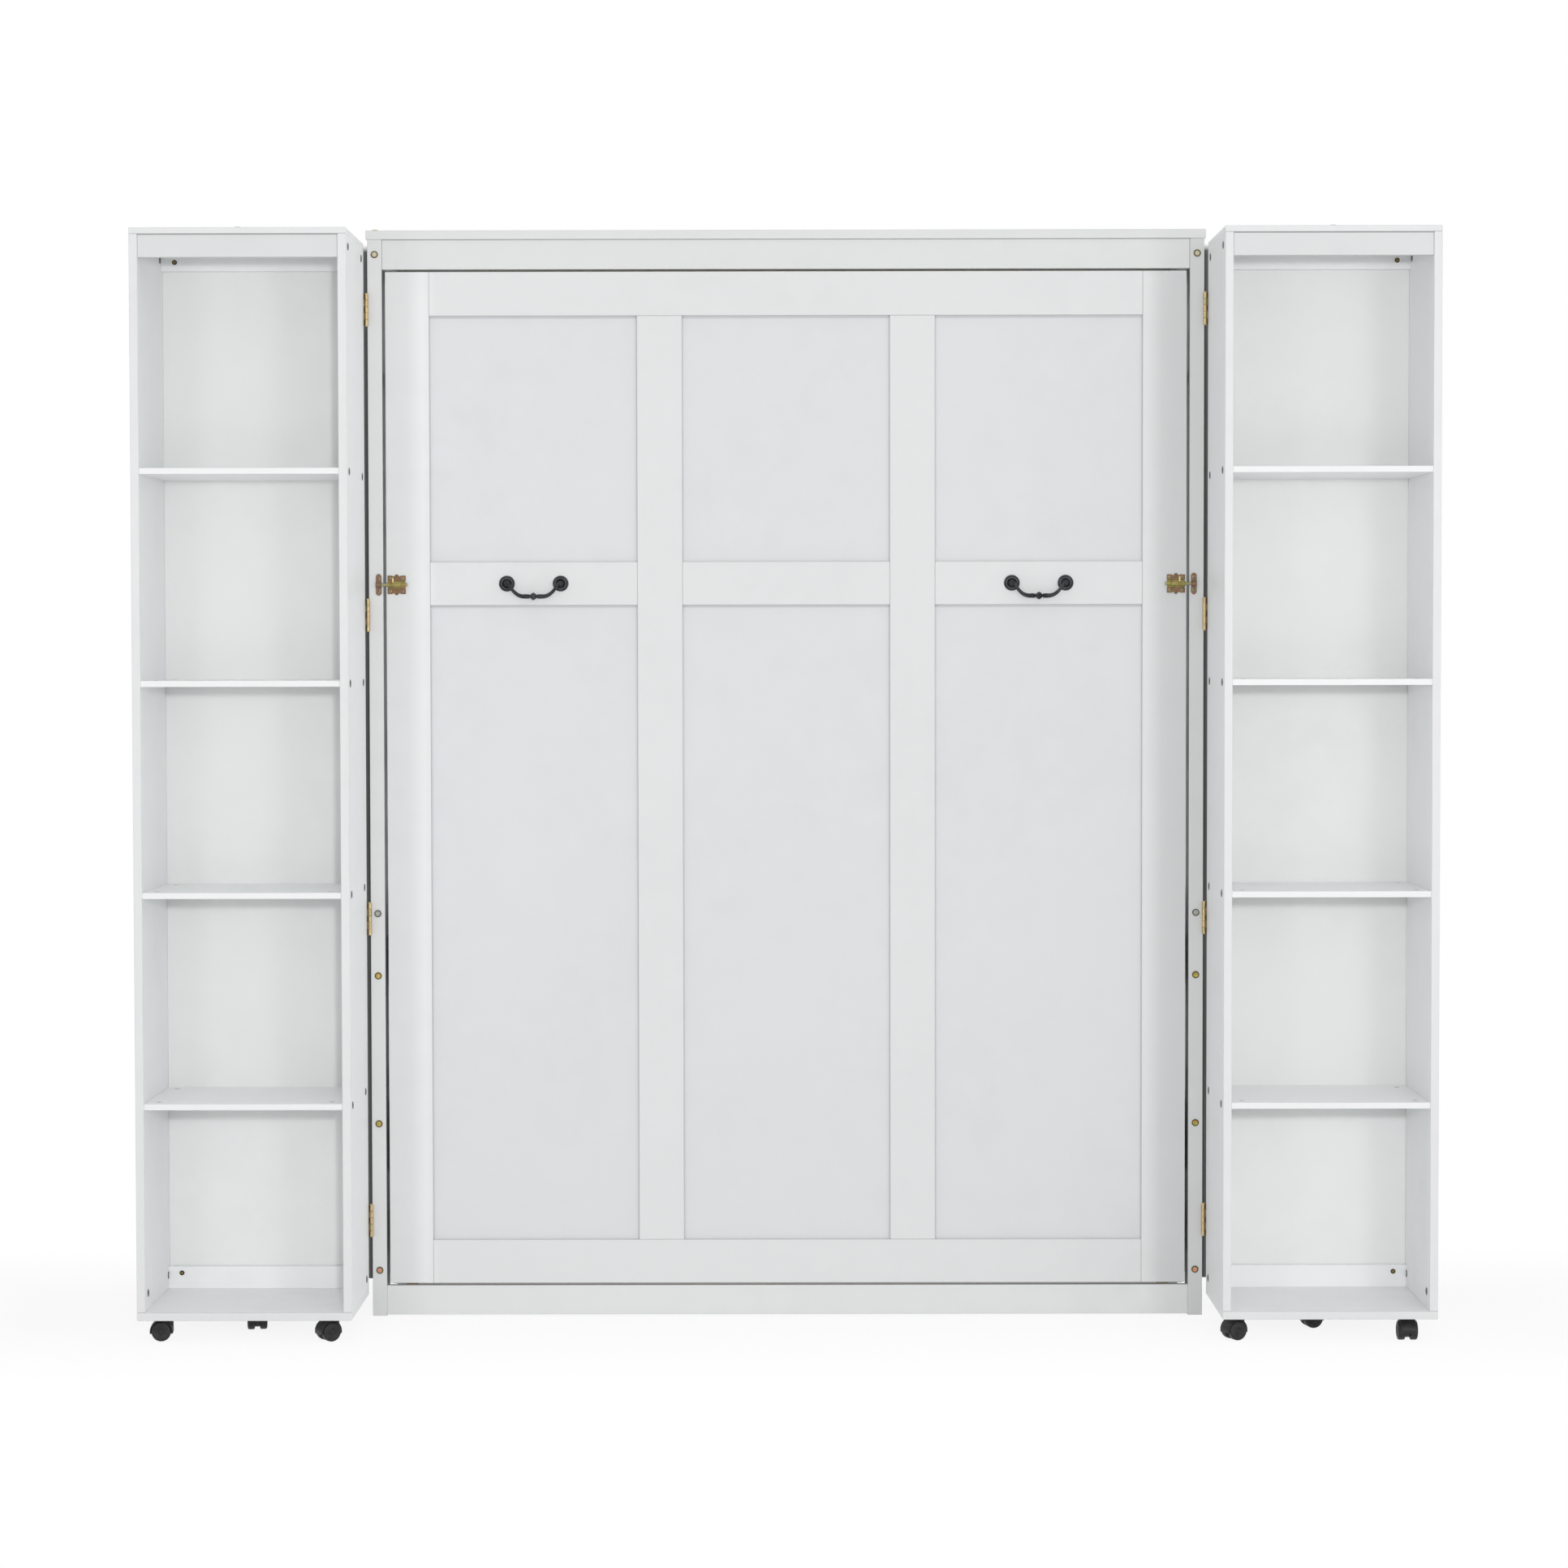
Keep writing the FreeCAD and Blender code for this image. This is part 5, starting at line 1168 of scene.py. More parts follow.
# Notches between the plate's lobes: in its long edges, and in its ends.
EDGE_NOTCH, EDGE_NOTCH_HALF, EDGE_NOTCH_PAST = 2.3 * MM, 6.2 * MM, 0.6 * MM
END_NOTCH, END_NOTCH_RISE, END_NOTCH_PAST = 2.2 * MM, 6.4 * MM, 0.8 * MM
SCREW_INSET_IN, SCREW_INSET_OUT = 6.4 * MM, 5.2 * MM
BARREL_SKIRT, LOOP_SKIRT = 1.4 * MM, 1 * MM
BARREL_CLEAR, LOOP_CLEAR = 0.25 * MM, 0.35 * MM
KNOB_INSET, KNOB_WIDE, KNOB_HALF, KNOB_EASE = 13 * MM, 4 * MM, 1.5 * MM, 0.9 * MM
SLOT_RUN, SLOT_PAST, SLOT_HALF, SLOT_HIGH = 14.6 * MM, 4.6 * MM, 3.2 * MM, 12 * MM
GAP_HALF, GAP_FRONT, GAP_BACK = 0.7 * MM, 8 * MM, 2.6 * MM
GAP_INSET_IN, GAP_INSET_OUT = 8.6 * MM, 5.6 * MM
BACK_CLEAR = 0.4 * MM
ROD_TIP = 1 * MM


class WALLBED_OT_make_latches(bpy.types.Operator):
    """Model the barrel bolts, their rods and their keepers"""
    bl_idname = "wallbed.make_latches"
    bl_label = "Barrel bolts"

    def execute(self, context):
        shape = context.scene.wall_bed_latches
        rod_low, rod_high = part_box("right_latch_bolt")
        plate_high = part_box("latch_plates")[1].x
        keeper_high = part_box("latch_keepers")[1].x
        self.axis_y = FRONT - shape.barrel
        self.axis_z = rod_low.z + shape.rod
        plate = self.plate(shape, plate_high - shape.plate_width, plate_high)
        keeper = self.keeper(shape, keeper_high - shape.keeper_width, keeper_high)
        rod = self.rod(shape, rod_low, rod_high, plate_high)
        # One node holds the plates of both sides, and one the keepers. Each rod has its own.
        for piece, name, body, node in (
                (plate, "latch_body", "bed", "latch_plates"),
                (keeper, "latch_strike", "frame", "latch_keepers"),
                (rod, "latch_rod", None, None)):
            for side, sign in SIDES:
                bolt = f"{side}_latch_bolt"
                made = copied(piece, flip=sign < 0)
                made.name = f"{side}_{name}"
                nodes = (node or bolt,) if sign > 0 or not node else ()
                finish(made, None, body or bolt, "yellow_zinc", *nodes)
            remove(piece)
        return {"FINISHED"}

    def screws(self, name, shape, xs):
        """Cross-head screws above and below the rod, and their places."""
        face = FRONT - shape.plate_thick
        places = [((x, face, self.axis_z + rise * shape.screw_rise), (0, -1, 0), x * 300 + rise)
                  for x in xs for rise in (-1, 1)]
        screw = cross_head("screw", SCREW_RADIUS, SCREW_RISE)
        # The screws' sides and lowest faces get painted shade.
        dress(screw, LOOKS["latch_screw"], LOOKS["latch_rim"],
              lambda face: face.normal.z < 0.3 or face.center.z < 0.5 * MM)
        return spread(name, screw, places)

    def notch(self, x, rise, radius):
        """A round cutter through a plate, at x and at a rise from the rod."""
        start = (x, FRONT - CUT_LONG / 2, self.axis_z + rise)
        return bar("plate_notch", start, (0, 1, 0), radius, CUT_LONG, 20)

    def bulge(self, x, rise, radius, thick):
        """A round bulge of a plate, at x and at a rise from the rod."""
        start = (x, FRONT - thick, self.axis_z + rise)
        return bar("plate_bulge", start, (0, 1, 0), radius, thick, 28)

    def pressed(self, flat, look):
        """Soften a pressed plate, and give it its look, with painted shade on its cut edges."""
        ease_edges(flat, PLATE_EASE, 2, 60)
        return dress(flat, LOOKS[look], LOOKS["latch_rim"], lambda face: abs(face.normal.y) < 0.6)

    def rolled(self, tube, look, ease):
        """Soften a rolled tube, and give it its look, with painted shade on its ends and underside.
        """
        ease_edges(tube, ease, 2, 40)
        return dress(tube, LOOKS[look], LOOKS["latch_rim"],
                     lambda face: abs(face.normal.x) > 0.7 or face.normal.y > -0.1)

    def plate(self, shape, low, high):
        """A pressed plate with four lobes and two bulges, and its barrel and screws."""
        half = shape.plate_height / 2
        middle = (low + high) / 2
        flat = block("latch_flat", (low, FRONT - shape.plate_thick, self.axis_z - half),
                     (high, FRONT, self.axis_z + half))
        end = shape.plate_width / 2 + END_NOTCH_PAST
        notches = []
        for up in (-1, 1):
            for across in (-1, 1):
                notches.append(self.notch(middle + across * EDGE_NOTCH_HALF,
                                          up * (half + EDGE_NOTCH_PAST), EDGE_NOTCH))
                notches.append(self.notch(middle + across * end, up * END_NOTCH_RISE, END_NOTCH))
        bulges = [self.bulge(middle, up * (half - BULGE_INSET), BULGE_RADIUS, shape.plate_thick)
                  for up in (-1, 1)]
        carve(flat, *notches)
        carve(flat, *bulges, operation="UNION")
        self.pressed(flat, "latch_plate")
        xs = (high - SCREW_INSET_OUT, low + SCREW_INSET_IN)
        return joined("latch_body", [flat, self.barrel(shape, low, high),
                                     self.screws("latch_screws", shape, xs)])

    def barrel(self, shape, low, high):
        """The barrel with its skirts, its bore, the knob's slot and two rolled gaps."""
        axis_y, axis_z = self.axis_y, self.axis_z
        barrel = bar("latch_barrel", (low, axis_y, axis_z), (1, 0, 0), shape.barrel, high - low, 40)
        wide = shape.barrel + BARREL_SKIRT
        skirts = block("latch_skirts", (low + CUT_PAST, axis_y, axis_z - wide),
                       (high - CUT_PAST, FRONT - BACK_CLEAR, axis_z + wide))
        carve(barrel, skirts, operation="UNION")
        bore = bar("latch_bore", (low - CUT_PAST, axis_y, axis_z), (1, 0, 0),
                   shape.rod + BARREL_CLEAR, high - low + 2 * CUT_PAST, 32)
        knob = high - KNOB_INSET
        slot = block("latch_slot", (knob - SLOT_RUN, axis_y - SLOT_HALF, axis_z),
                     (knob + SLOT_PAST, axis_y + SLOT_HALF, axis_z + SLOT_HIGH))
        gaps = [block("barrel_gap", (x - GAP_HALF, axis_y - GAP_FRONT, axis_z - SLOT_HIGH),
                      (x + GAP_HALF, axis_y - GAP_BACK, axis_z + SLOT_HIGH))
                for x in (low + GAP_INSET_IN, high - GAP_INSET_OUT)]
        carve(barrel, bore, slot, *gaps)
        return self.rolled(barrel, "latch_barrel", BARREL_EASE)

    def keeper(self, shape, low, high):
        """A narrow strap plate with round ends and a loop for the rod."""
        half = shape.keeper_height / 2
        flat = block("strike_flat", (low, FRONT - shape.plate_thick, self.axis_z - half),
                     (high, FRONT, self.axis_z + half))
        middle = (low + high) / 2
        ends = [self.bulge(middle, up * (half - KEEPER_BULGE_INSET),
                           shape.keeper_width * KEEPER_BULGE_SHARE, shape.plate_thick)
                for up in (-1, 1)]
        carve(flat, *ends, operation="UNION")
        self.pressed(flat, "latch_keeper")
        axis_y, axis_z = self.axis_y, self.axis_z
        loop = bar("strike_loop", (low + BACK_CLEAR, axis_y, axis_z), (1, 0, 0), shape.barrel,
                   high - low - 2 * BACK_CLEAR, 40)
        wide = shape.barrel + LOOP_SKIRT
        skirts = block("strike_skirts", (low + BACK_CLEAR, axis_y, axis_z - wide),
                       (high - BACK_CLEAR, FRONT - BACK_CLEAR, axis_z + wide))
        carve(loop, skirts, operation="UNION")
        carve(loop, bar("strike_hole", (low - CUT_PAST, axis_y, axis_z), (1, 0, 0),
                        shape.rod + LOOP_CLEAR, high - low + 2 * CUT_PAST, 32))
        self.rolled(loop, "latch_keeper", LOOP_EASE)
        return joined("latch_strike", [flat, loop, self.screws("strike_screws", shape, (middle,))])

    def rod(self, shape, low, high, plate_high):
        """The sliding rod with its rounded tips and its flat turned-up knob."""
        length = high.x - low.x
        tip = ROD_TIP
        profile = ([(0, 0)] + arc(shape.rod - tip, tip, tip, -90, 0, 4)
                   + arc(shape.rod - tip, length - tip, tip, 0, 90, 4) + [(0, length)])
        rod = spun("latch_rod", profile, (low.x, self.axis_y, self.axis_z), (1, 0, 0), 28)
        knob_low = plate_high - KNOB_INSET
        knob = block("latch_knob", (knob_low, self.axis_y - KNOB_HALF, self.axis_z),
                     (knob_low + KNOB_WIDE, self.axis_y + KNOB_HALF, high.z), KNOB_EASE, 3)
        # The rod's back and the knob's sides get painted shade.
        dress(rod, LOOKS["latch_rod"], LOOKS["latch_rim"], lambda face: face.normal.y > 0.2)
        dress(knob, LOOKS["latch_knob"], LOOKS["latch_rim"], lambda face: abs(face.normal.x) > 0.8)
        return joined("latch_rod", [rod, knob])


# Hinges

HINGE_COUNT = 4
HINGE_HIGH = 65 * MM
KNUCKLE_COUNT = 5
KNUCKLE_RADIUS = 4 * MM
KNUCKLE_GAP = 0.3 * MM
KNUCKLE_EASE = 0.35 * MM
LEAF_THICK, LEAF_WIDE, LEAF_START, LEAF_EASE = 1.2 * MM, 25 * MM, 4.3 * MM, 0.3 * MM
LEAF_SCREW_RADIUS, LEAF_SCREW_RISE = 3.4 * MM, 0.2 * MM
WEB_WIDE = 5 * MM


class WALLBED_OT_make_hinges(bpy.types.Operator):
    """Model the butt hinges between the posts and the bookcases"""
    bl_idname = "wallbed.make_hinges"
    bl_label = "Butt hinges"

    def execute(self, context):
        low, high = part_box("post_hinges")
        axis = JOINTS["right_case_swing"]["pos_m"][:2]
        pitch = (high.z - low.z - HINGE_HIGH + KNUCKLE_GAP) / (HINGE_COUNT - 1)
        lowest = low.z - KNUCKLE_GAP / 2 + HINGE_HIGH / 2
        knuckle_end = axis[0] + KNUCKLE_RADIUS
        fixed, moving = self.one_hinge(*axis)
        # The post leaves of both sides are one node, and each bookcase has its own leaves.
        for side, sign in SIDES:
            for piece, name, body, node in (
                    (fixed, "post_leaves", "frame", "post_hinges"),
                    (moving, "case_leaves", f"{side}_bookcase", f"{side}_case_hinges")):
                column = [copied(piece, (0, 0, lowest + pitch * index), flip=sign < 0)
                          for index in range(HINGE_COUNT)]
                made = joined(f"{side}_{name}", column)
                nodes = (node,) if node != "post_hinges" or sign > 0 else ()
                dress(made, LOOKS["hinge"], LOOKS["hinge_side"],
                      lambda face: self.shaded(face, sign, knuckle_end))
                finish(made, None, body, "yellow_zinc", *nodes)
        remove(fixed, moving)
        return {"FINISHED"}

    def shaded(self, face, sign, knuckle_end):
        """Whether a face gets painted shade: outwards on a knuckle, or forwards past the knuckles.
        """
        if abs(face.center.x) < knuckle_end:
            return face.normal.x * sign > 0.45
        return face.normal.y < -0.3 and abs(face.center.x) > knuckle_end

    def knuckle(self, x, y, low, high):
        """One rolled knuckle with softened ends."""
        radius, ease = KNUCKLE_RADIUS, KNUCKLE_EASE
        profile = [(0, low), (radius - ease, low), (radius, low + ease),
                   (radius, high - ease), (radius - ease, high), (0, high)]
        return spun("knuckle", profile, (x, y, 0), (0, 0, 1), 24)

    def one_hinge(self, x, y):
        """The right-hand hinge about height zero: its fixed and its moving half."""
        half = HINGE_HIGH / 2
        step = HINGE_HIGH / KNUCKLE_COUNT
        post_face, case_face = POST_OUT + LEAF_THICK, CASE_BACK + LEAF_THICK
        fixed, moving = [], []
        for index in range(KNUCKLE_COUNT):
            bottom = -half + step * index + KNUCKLE_GAP / 2
            top = bottom + step - KNUCKLE_GAP
            knuckle = self.knuckle(x, y, bottom, top)
            if index % 2 == 0:
                web = block("web", (POST_OUT, y, bottom), (post_face, y + WEB_WIDE, top))
                fixed += [knuckle, web]
            else:
                web = block("web", (x, CASE_BACK, bottom), (x + WEB_WIDE, case_face, top))
                moving += [knuckle, web]
        leaf_y = y + LEAF_START
        fixed.append(block("post_leaf", (POST_OUT, leaf_y, -half),
                           (post_face, leaf_y + LEAF_WIDE, half), LEAF_EASE))
        leaf_x = x + LEAF_START
        moving.append(block("case_leaf", (leaf_x, CASE_BACK, -half),
                            (leaf_x + LEAF_WIDE, case_face, half), LEAF_EASE))
        rows = ((-HINGE_HIGH * 0.38, 0.62), (0.0, 0.32), (HINGE_HIGH * 0.38, 0.62))
        fixed.append(self.screws("post_leaf_screws", [
            ((post_face, leaf_y + LEAF_WIDE * share, height), (1, 0, 0), height * 90)
            for height, share in rows]))
        moving.append(self.screws("case_leaf_screws", [
            ((leaf_x + LEAF_WIDE * share, case_face, height), (0, 1, 0), height * 70)
            for height, share in rows]))
        tip = [(0, 0), (2.4 * MM, 0), (2.6 * MM, 0.5 * MM), (2.0 * MM, 1.0 * MM), (0, 1.2 * MM)]
        for end in (-1, 1):
            fixed.append(spun("pin_tip", tip, (x, y, end * (half - 0.2 * MM)), (0, 0, end), 16))
        return joined("fixed_half", fixed), joined("moving_half", moving)

    def screws(self, name, places):
        """A leaf's sunk screws, almost level with it."""
        return spread(name, cross_head("leaf_screw", LEAF_SCREW_RADIUS, LEAF_SCREW_RISE), places)


# Casters

HOOD_WALL, HOOD_LIP, HOOD_EASE = 2.5 * MM, 2.2 * MM, 0.5 * MM
BOSS_RADIUS, BOSS_RISE, BOSS_EASE = 9 * MM, 0.6 * MM, 0.8 * MM
WEB_HALF, WEB_EASE = 4.5 * MM, 0.6 * MM
ROOM_LONG = 30 * MM
MOUTH_HALF, MOUTH_DEEP = 50 * MM, 10 * MM
NECK_RADIUS, STEM_RADIUS = 7 * MM, 5 * MM
NECK_SUNK, STEM_HIGH = 6 * MM, 13 * MM
AXLE_RADIUS = 3 * MM
TREAD_ROUND, INNER_ROUND = 3.9 * MM, 3.2 * MM


class WALLBED_OT_make_casters(bpy.types.Operator):
    """Model the hooded twin-wheel casters"""
    bl_idname = "wallbed.make_casters"
    bl_label = "Casters"

    def execute(self, context):
        shape = context.scene.wall_bed_casters
        swivel = Vector(JOINTS["left_outer_swivel"]["pos_m"])
        roll = Vector(JOINTS["left_outer_roll"]["pos_m"])
        trail = (swivel - roll).to_2d().length
        hood = self.hood(shape, trail, swivel.z - roll.z)
        wheels = self.wheels(shape)
        for name in HOODS:
            stem = Vector(JOINTS[f"{name}_swivel"]["pos_m"])
            centre = Vector(JOINTS[f"{name}_roll"]["pos_m"])
            turn = atan2(stem.y - centre.y, stem.x - centre.x)
            for pattern, part, look, slot in ((hood, "hood", "hood", "black_hood"),
                                              (wheels, "wheels", "wheel", "black_wheel")):
                made = copied(pattern, centre, (0, 0, turn))
                made.name = f"{name}_caster_{part}"
                finish(made, LOOKS[look], f"{name}_{part}", slot, f"{name}_{part}")
        remove(hood, wheels)
        return {"FINISHED"}

    def hood(self, shape, trail, height):
        """A moulded hood over the wheels with a web between them, about the axle's middle."""
        inner = shape.hood - HOOD_WALL
        half, lip = shape.hood_half, HOOD_LIP
        profile = ([(0, -half), (shape.hood - lip, -half)]
                   + arc(shape.hood - lip, -half + lip, lip, -70, 0, 5)
                   + arc(shape.hood - lip, half - lip, lip, 0, 70, 5)
                   + [(shape.hood - lip, half), (0, half)])
        hood = spun("hood", profile, (0, 0, 0), (0, 1, 0), 72)
        boss = bar("hood_boss", (trail, 0, 0), (0, 0, 1), BOSS_RADIUS, shape.hood + BOSS_RISE, 40,
                   BOSS_EASE)
        carve(hood, boss, operation="UNION")
        for end in (-1, 1):
            room = bar("wheel_room", (0, end * WEB_HALF, 0), (0, end, 0), inner, ROOM_LONG, 72)
            carve(hood, room)
        carve(hood, block("hood_mouth", (-MOUTH_HALF, -MOUTH_HALF, -shape.hood - MOUTH_DEEP),
                          (MOUTH_HALF, MOUTH_HALF, -shape.hood_drop)))
        ease_edges(hood, HOOD_EASE, 2, 40)
        low, high = inner - NECK_SUNK, height + STEM_HIGH
        neck = spun("hood_neck", [(0, low), (NECK_RADIUS, low), (NECK_RADIUS, height - 1.2 * MM),
                                  (NECK_RADIUS - 0.6 * MM, height - 0.2 * MM),
                                  (STEM_RADIUS, height - 0.1 * MM), (STEM_RADIUS, high - 1 * MM),
                                  (STEM_RADIUS - 0.8 * MM, high), (0, high)],
                    (trail, 0, 0), (0, 0, 1), 32)
        foot = bar("web_foot", (0, -WEB_HALF, 0), (0, 1, 0), shape.web_drop, 2 * WEB_HALF, 40,
                   WEB_EASE)
        return joined("hood", [hood, neck, foot])

    def wheels(self, shape):
        """Two wheels with dished faces and a cap, on one axle along Y."""
        r, out, near = shape.wheel, shape.half_width, shape.wheel_in
        face = ([(0, out - 0.6 * MM), (4.6 * MM, out - 0.6 * MM), (5.4 * MM, out - 0.9 * MM)]
                + [(5.8 * MM, out - 1.6 * MM), (6.4 * MM, out - 1.9 * MM)]
                + [(r * 0.60, out - 1.1 * MM), (r * 0.68, out - 0.4 * MM), (r * 0.74, out)]
                + [(r * 0.79, out - 0.1 * MM)]
                + arc(r - TREAD_ROUND, out - TREAD_ROUND - 0.3 * MM, TREAD_ROUND, 80, 4, 8)
                + [(r, out - 6 * MM), (r, near + 3.4 * MM)]
                + arc(r - INNER_ROUND, near + INNER_ROUND, INNER_ROUND, -4, -86, 6)
                + [(5 * MM, near), (AXLE_RADIUS, near - 0.4 * MM), (AXLE_RADIUS, 0)])
        profile = face + [(radius, -along) for radius, along in reversed(face[:-1])]
        return spun("wheels", profile, (0, 0, 0), (0, 1, 0), 64)


# Gas struts and steel parts

EYE_BORE, EYE_HALF, EYE_EASE = 4.1 * MM, 5.5 * MM, 0.8 * MM
GROOVE_DEEP = 0.9 * MM
SHAFT_RADIUS, PISTON_RADIUS, PISTON_LONG = 5 * MM, 7.4 * MM, 14 * MM
NUT_RADIUS, NUT_LONG = 6.6 * MM, 5 * MM


class WALLBED_OT_make_struts(bpy.types.Operator):
    """Model the tubes and rods of the gas struts"""
    bl_idname = "wallbed.make_struts"
    bl_label = "Gas struts"

    def execute(self, context):
        for side, sign in SIDES:
            low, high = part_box(f"{side}_strut_tube")
            top = Vector(JOINTS[f"{side}_strut_swing"]["pos_m"])
            radius = (high.x - low.x) / 2
            eye_radius = high.z - top.z
            tall = top.z - low.z
            profile = ([(0, 0), (4.9 * MM, 0)] + [(radius * 0.80, 0.2 * MM)]
                       + arc(radius - 2 * MM, 2.2 * MM, 2 * MM, -60, 0, 4)
                       + [(radius, 8 * MM), (radius - GROOVE_DEEP, 9 * MM),
                          (radius - GROOVE_DEEP, 10.4 * MM), (radius, 11.4 * MM)]
                       + arc(radius - 2.5 * MM, tall - 16.5 * MM, 2.5 * MM, 0, 85, 5)
                       + [(5.2 * MM, tall - 14 * MM), (4.8 * MM, tall - 12 * MM),
                          (4.8 * MM, tall - 6 * MM), (0, tall - 6 * MM)])
            tube = spun("tube", profile, (top.x, top.y, low.z), (0, 0, 1), 40)
            tube = joined(f"{side}_gas_tube", [tube, self.eye(top, eye_radius)])
            finish(tube, LOOKS["coated"], f"{side}_strut_tube", "grey_steel", f"{side}_strut_tube")
            low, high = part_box(f"{side}_strut_rod")
            foot = Vector((top.x, top.y, low.z + eye_radius))
            length = high.z - foot.z
            piston = length - PISTON_LONG
            shaft = spun("shaft", [(0, 5 * MM), (4.2 * MM, 5 * MM), (SHAFT_RADIUS, 8 * MM),
                                   (SHAFT_RADIUS, piston), (PISTON_RADIUS, piston),
                                   (PISTON_RADIUS, length), (0, length)], foot, (0, 0, 1), 32)
            nut = bar("rod_nut", foot + Vector((0, 0, 8 * MM)), (0, 0, 1), NUT_RADIUS, NUT_LONG, 6,
                      0.4 * MM)
            rod = joined(f"{side}_gas_rod", [shaft, nut, self.eye(foot, eye_radius)])
            finish(rod, LOOKS["chrome"], f"{side}_strut_rod", "rod_chrome", f"{side}_strut_rod")
        return {"FINISHED"}

    def eye(self, centre, radius):
        """A strut's end eye: a short sleeve with rounded rims and its bore."""
        bore, half, ease = EYE_BORE, EYE_HALF, EYE_EASE
        profile = [(bore, -half), (radius - ease, -half), (radius, -half + ease),
                   (radius, half - ease), (radius - ease, half), (bore, half), (bore, -half)]
        return spun("eye", profile, centre, (1, 0, 0), 32)


PLATE_THICK, PLATE_BOLT_INSET = 5 * MM, 16 * MM
BRACKET_THICK, BRACKET_BOLT_INSET = 4 * MM, 8 * MM
BRACKET_HEAD_RADIUS, BRACKET_HEAD_RISE = 5 * MM, 2.6 * MM
ARM_THICK = 5 * MM
ARM_HEAD_RADIUS, ARM_HEAD_RISE = 5.5 * MM, 3 * MM
ARM_BOLT_RISES = (62 * MM, 90 * MM, 118 * MM)
LEG_BAR_RADIUS = 11 * MM
SLEEVE_PLACE, SLEEVE_LONG, SLEEVE_THICK = 0.60, 60 * MM, 1.4 * MM


class WALLBED_OT_make_steelwork(bpy.types.Operator):
    """Model the bolts of the pivots and brackets, and the rubber sleeves of the folding leg"""
    bl_idname = "wallbed.make_steelwork"
    bl_label = "Steel fixings"

    def execute(self, context):
        places = (self.corners("pivot_plates", PLATE_THICK, PLATE_BOLT_INSET)
                  + self.corners("strut_brackets", BRACKET_THICK, BRACKET_BOLT_INSET))
        head = flat_head("bracket_bolt", BRACKET_HEAD_RADIUS, BRACKET_HEAD_RISE)
        bolts = spread("bracket_bolts", head, places)
        finish(bolts, LOOKS["steel_bolt"], "frame", "socket_steel")
        fold = Vector(JOINTS["bed_fold"]["pos_m"])
        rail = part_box("bed_box_boards")[1].x + ARM_THICK
        heights = [fold.z + rise for rise in ARM_BOLT_RISES]
        places = [((sign * rail, fold.y, z), (sign, 0, 0), z * 40) for _, sign in SIDES
                  for z in heights]
        head = flat_head("arm_bolt", ARM_HEAD_RADIUS, ARM_HEAD_RISE)
        bolts = spread("arm_bolts", head, places)
        finish(bolts, LOOKS["steel_bolt"], "bed", "socket_steel")
        self.leg_sleeves()
        return {"FINISHED"}

    def corners(self, node, thick, inset):
        """Bolt places near the corners of the two plates of a node, on their inner faces."""
        low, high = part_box(node)
        return [((sign * (high.x - thick), y, z), (-sign, 0, 0), z * 50)
                for _, sign in SIDES
                for y in (low.y + inset, high.y - inset)
                for z in (low.z + inset, high.z - inset)]

    def leg_sleeves(self):
        """Rubber sleeves near the ends of the leg's bar."""
        low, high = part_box("support_leg")
        radius, outer = LEG_BAR_RADIUS, LEG_BAR_RADIUS + SLEEVE_THICK
        profile = [(radius, 0), (outer - 0.3 * MM, 0.4 * MM), (outer, 2 * MM),
                   (outer, SLEEVE_LONG - 2 * MM), (outer - 0.3 * MM, SLEEVE_LONG - 0.4 * MM),
                   (radius, SLEEVE_LONG), (radius, 0)]
        sleeves = [spun("sleeve", profile, (sign * SLEEVE_PLACE, high.y - radius, low.z + radius),
                        (sign, 0, 0), 32) for sign in (-1, 1)]
        made = joined("leg_bar_sleeves", sleeves)
        finish(made, LOOKS["rubber"], "support_leg", "black_hood")


SLAT_SCREW_RADIUS, SLAT_SCREW_RISE = 3.6 * MM, 0.6 * MM
SLAT_SCREW_INSET, SLAT_SCREW_HALF = 11 * MM, 18 * MM


class WALLBED_OT_make_slat_screws(bpy.types.Operator):
    """Model the screws that hold the slats"""
    bl_idname = "wallbed.make_slat_screws"
    bl_label = "Slat screws"

    def execute(self, context):
        low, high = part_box("bed_slats")
        pitch = (high.z - low.z - SLAT_WIDE) / (SLAT_COUNT - 1)
        places = []
        for index in range(SLAT_COUNT):
            height = low.z + SLAT_WIDE / 2 + pitch * index
            for x in (low.x + SLAT_SCREW_INSET, 0.0, high.x - SLAT_SCREW_INSET):
                for rise in (-SLAT_SCREW_HALF, SLAT_SCREW_HALF):
                    places.append(((x, high.y, height + rise), (0, 1, 0), height * 31 + x))
        screw = cross_head("slat_screw", SLAT_SCREW_RADIUS, SLAT_SCREW_RISE)
        screws = spread("slat_screws", screw, places)
        finish(screws, LOOKS["zinc"], "bed", "yellow_zinc")
        return {"FINISHED"}


# Stage

FLOOR_SIZE = 24
FLOOR_BACK = 2
SHADOW_NEAR, SHADOW_FAR, SHADOW_WHITE = 0.25, 0.85, 0.86
WALL_GAP, WALL_PAST, WALL_OVER = 6 * MM, 1.0, 0.4
# Painted shade on the strips of wall that show: their edges, how they fade, and how it lightens
# outwards.
STRIP_IN, STRIP_OUT, STRIP_FADE = 0.884, 0.902, 4 * MM
STRIP_TOP, STRIP_TOP_END = 5 * MM, 20 * MM
DEEP_SHADE_AT, DEEP_SHADE_TONE = 0.888, 0.04
PALE_SHADE_AT, PALE_SHADE_TONE = 0.899, 0.20
SENSOR_WIDTH, VIEW_END = 36, 100
AIM = (0, 0, 1.1)


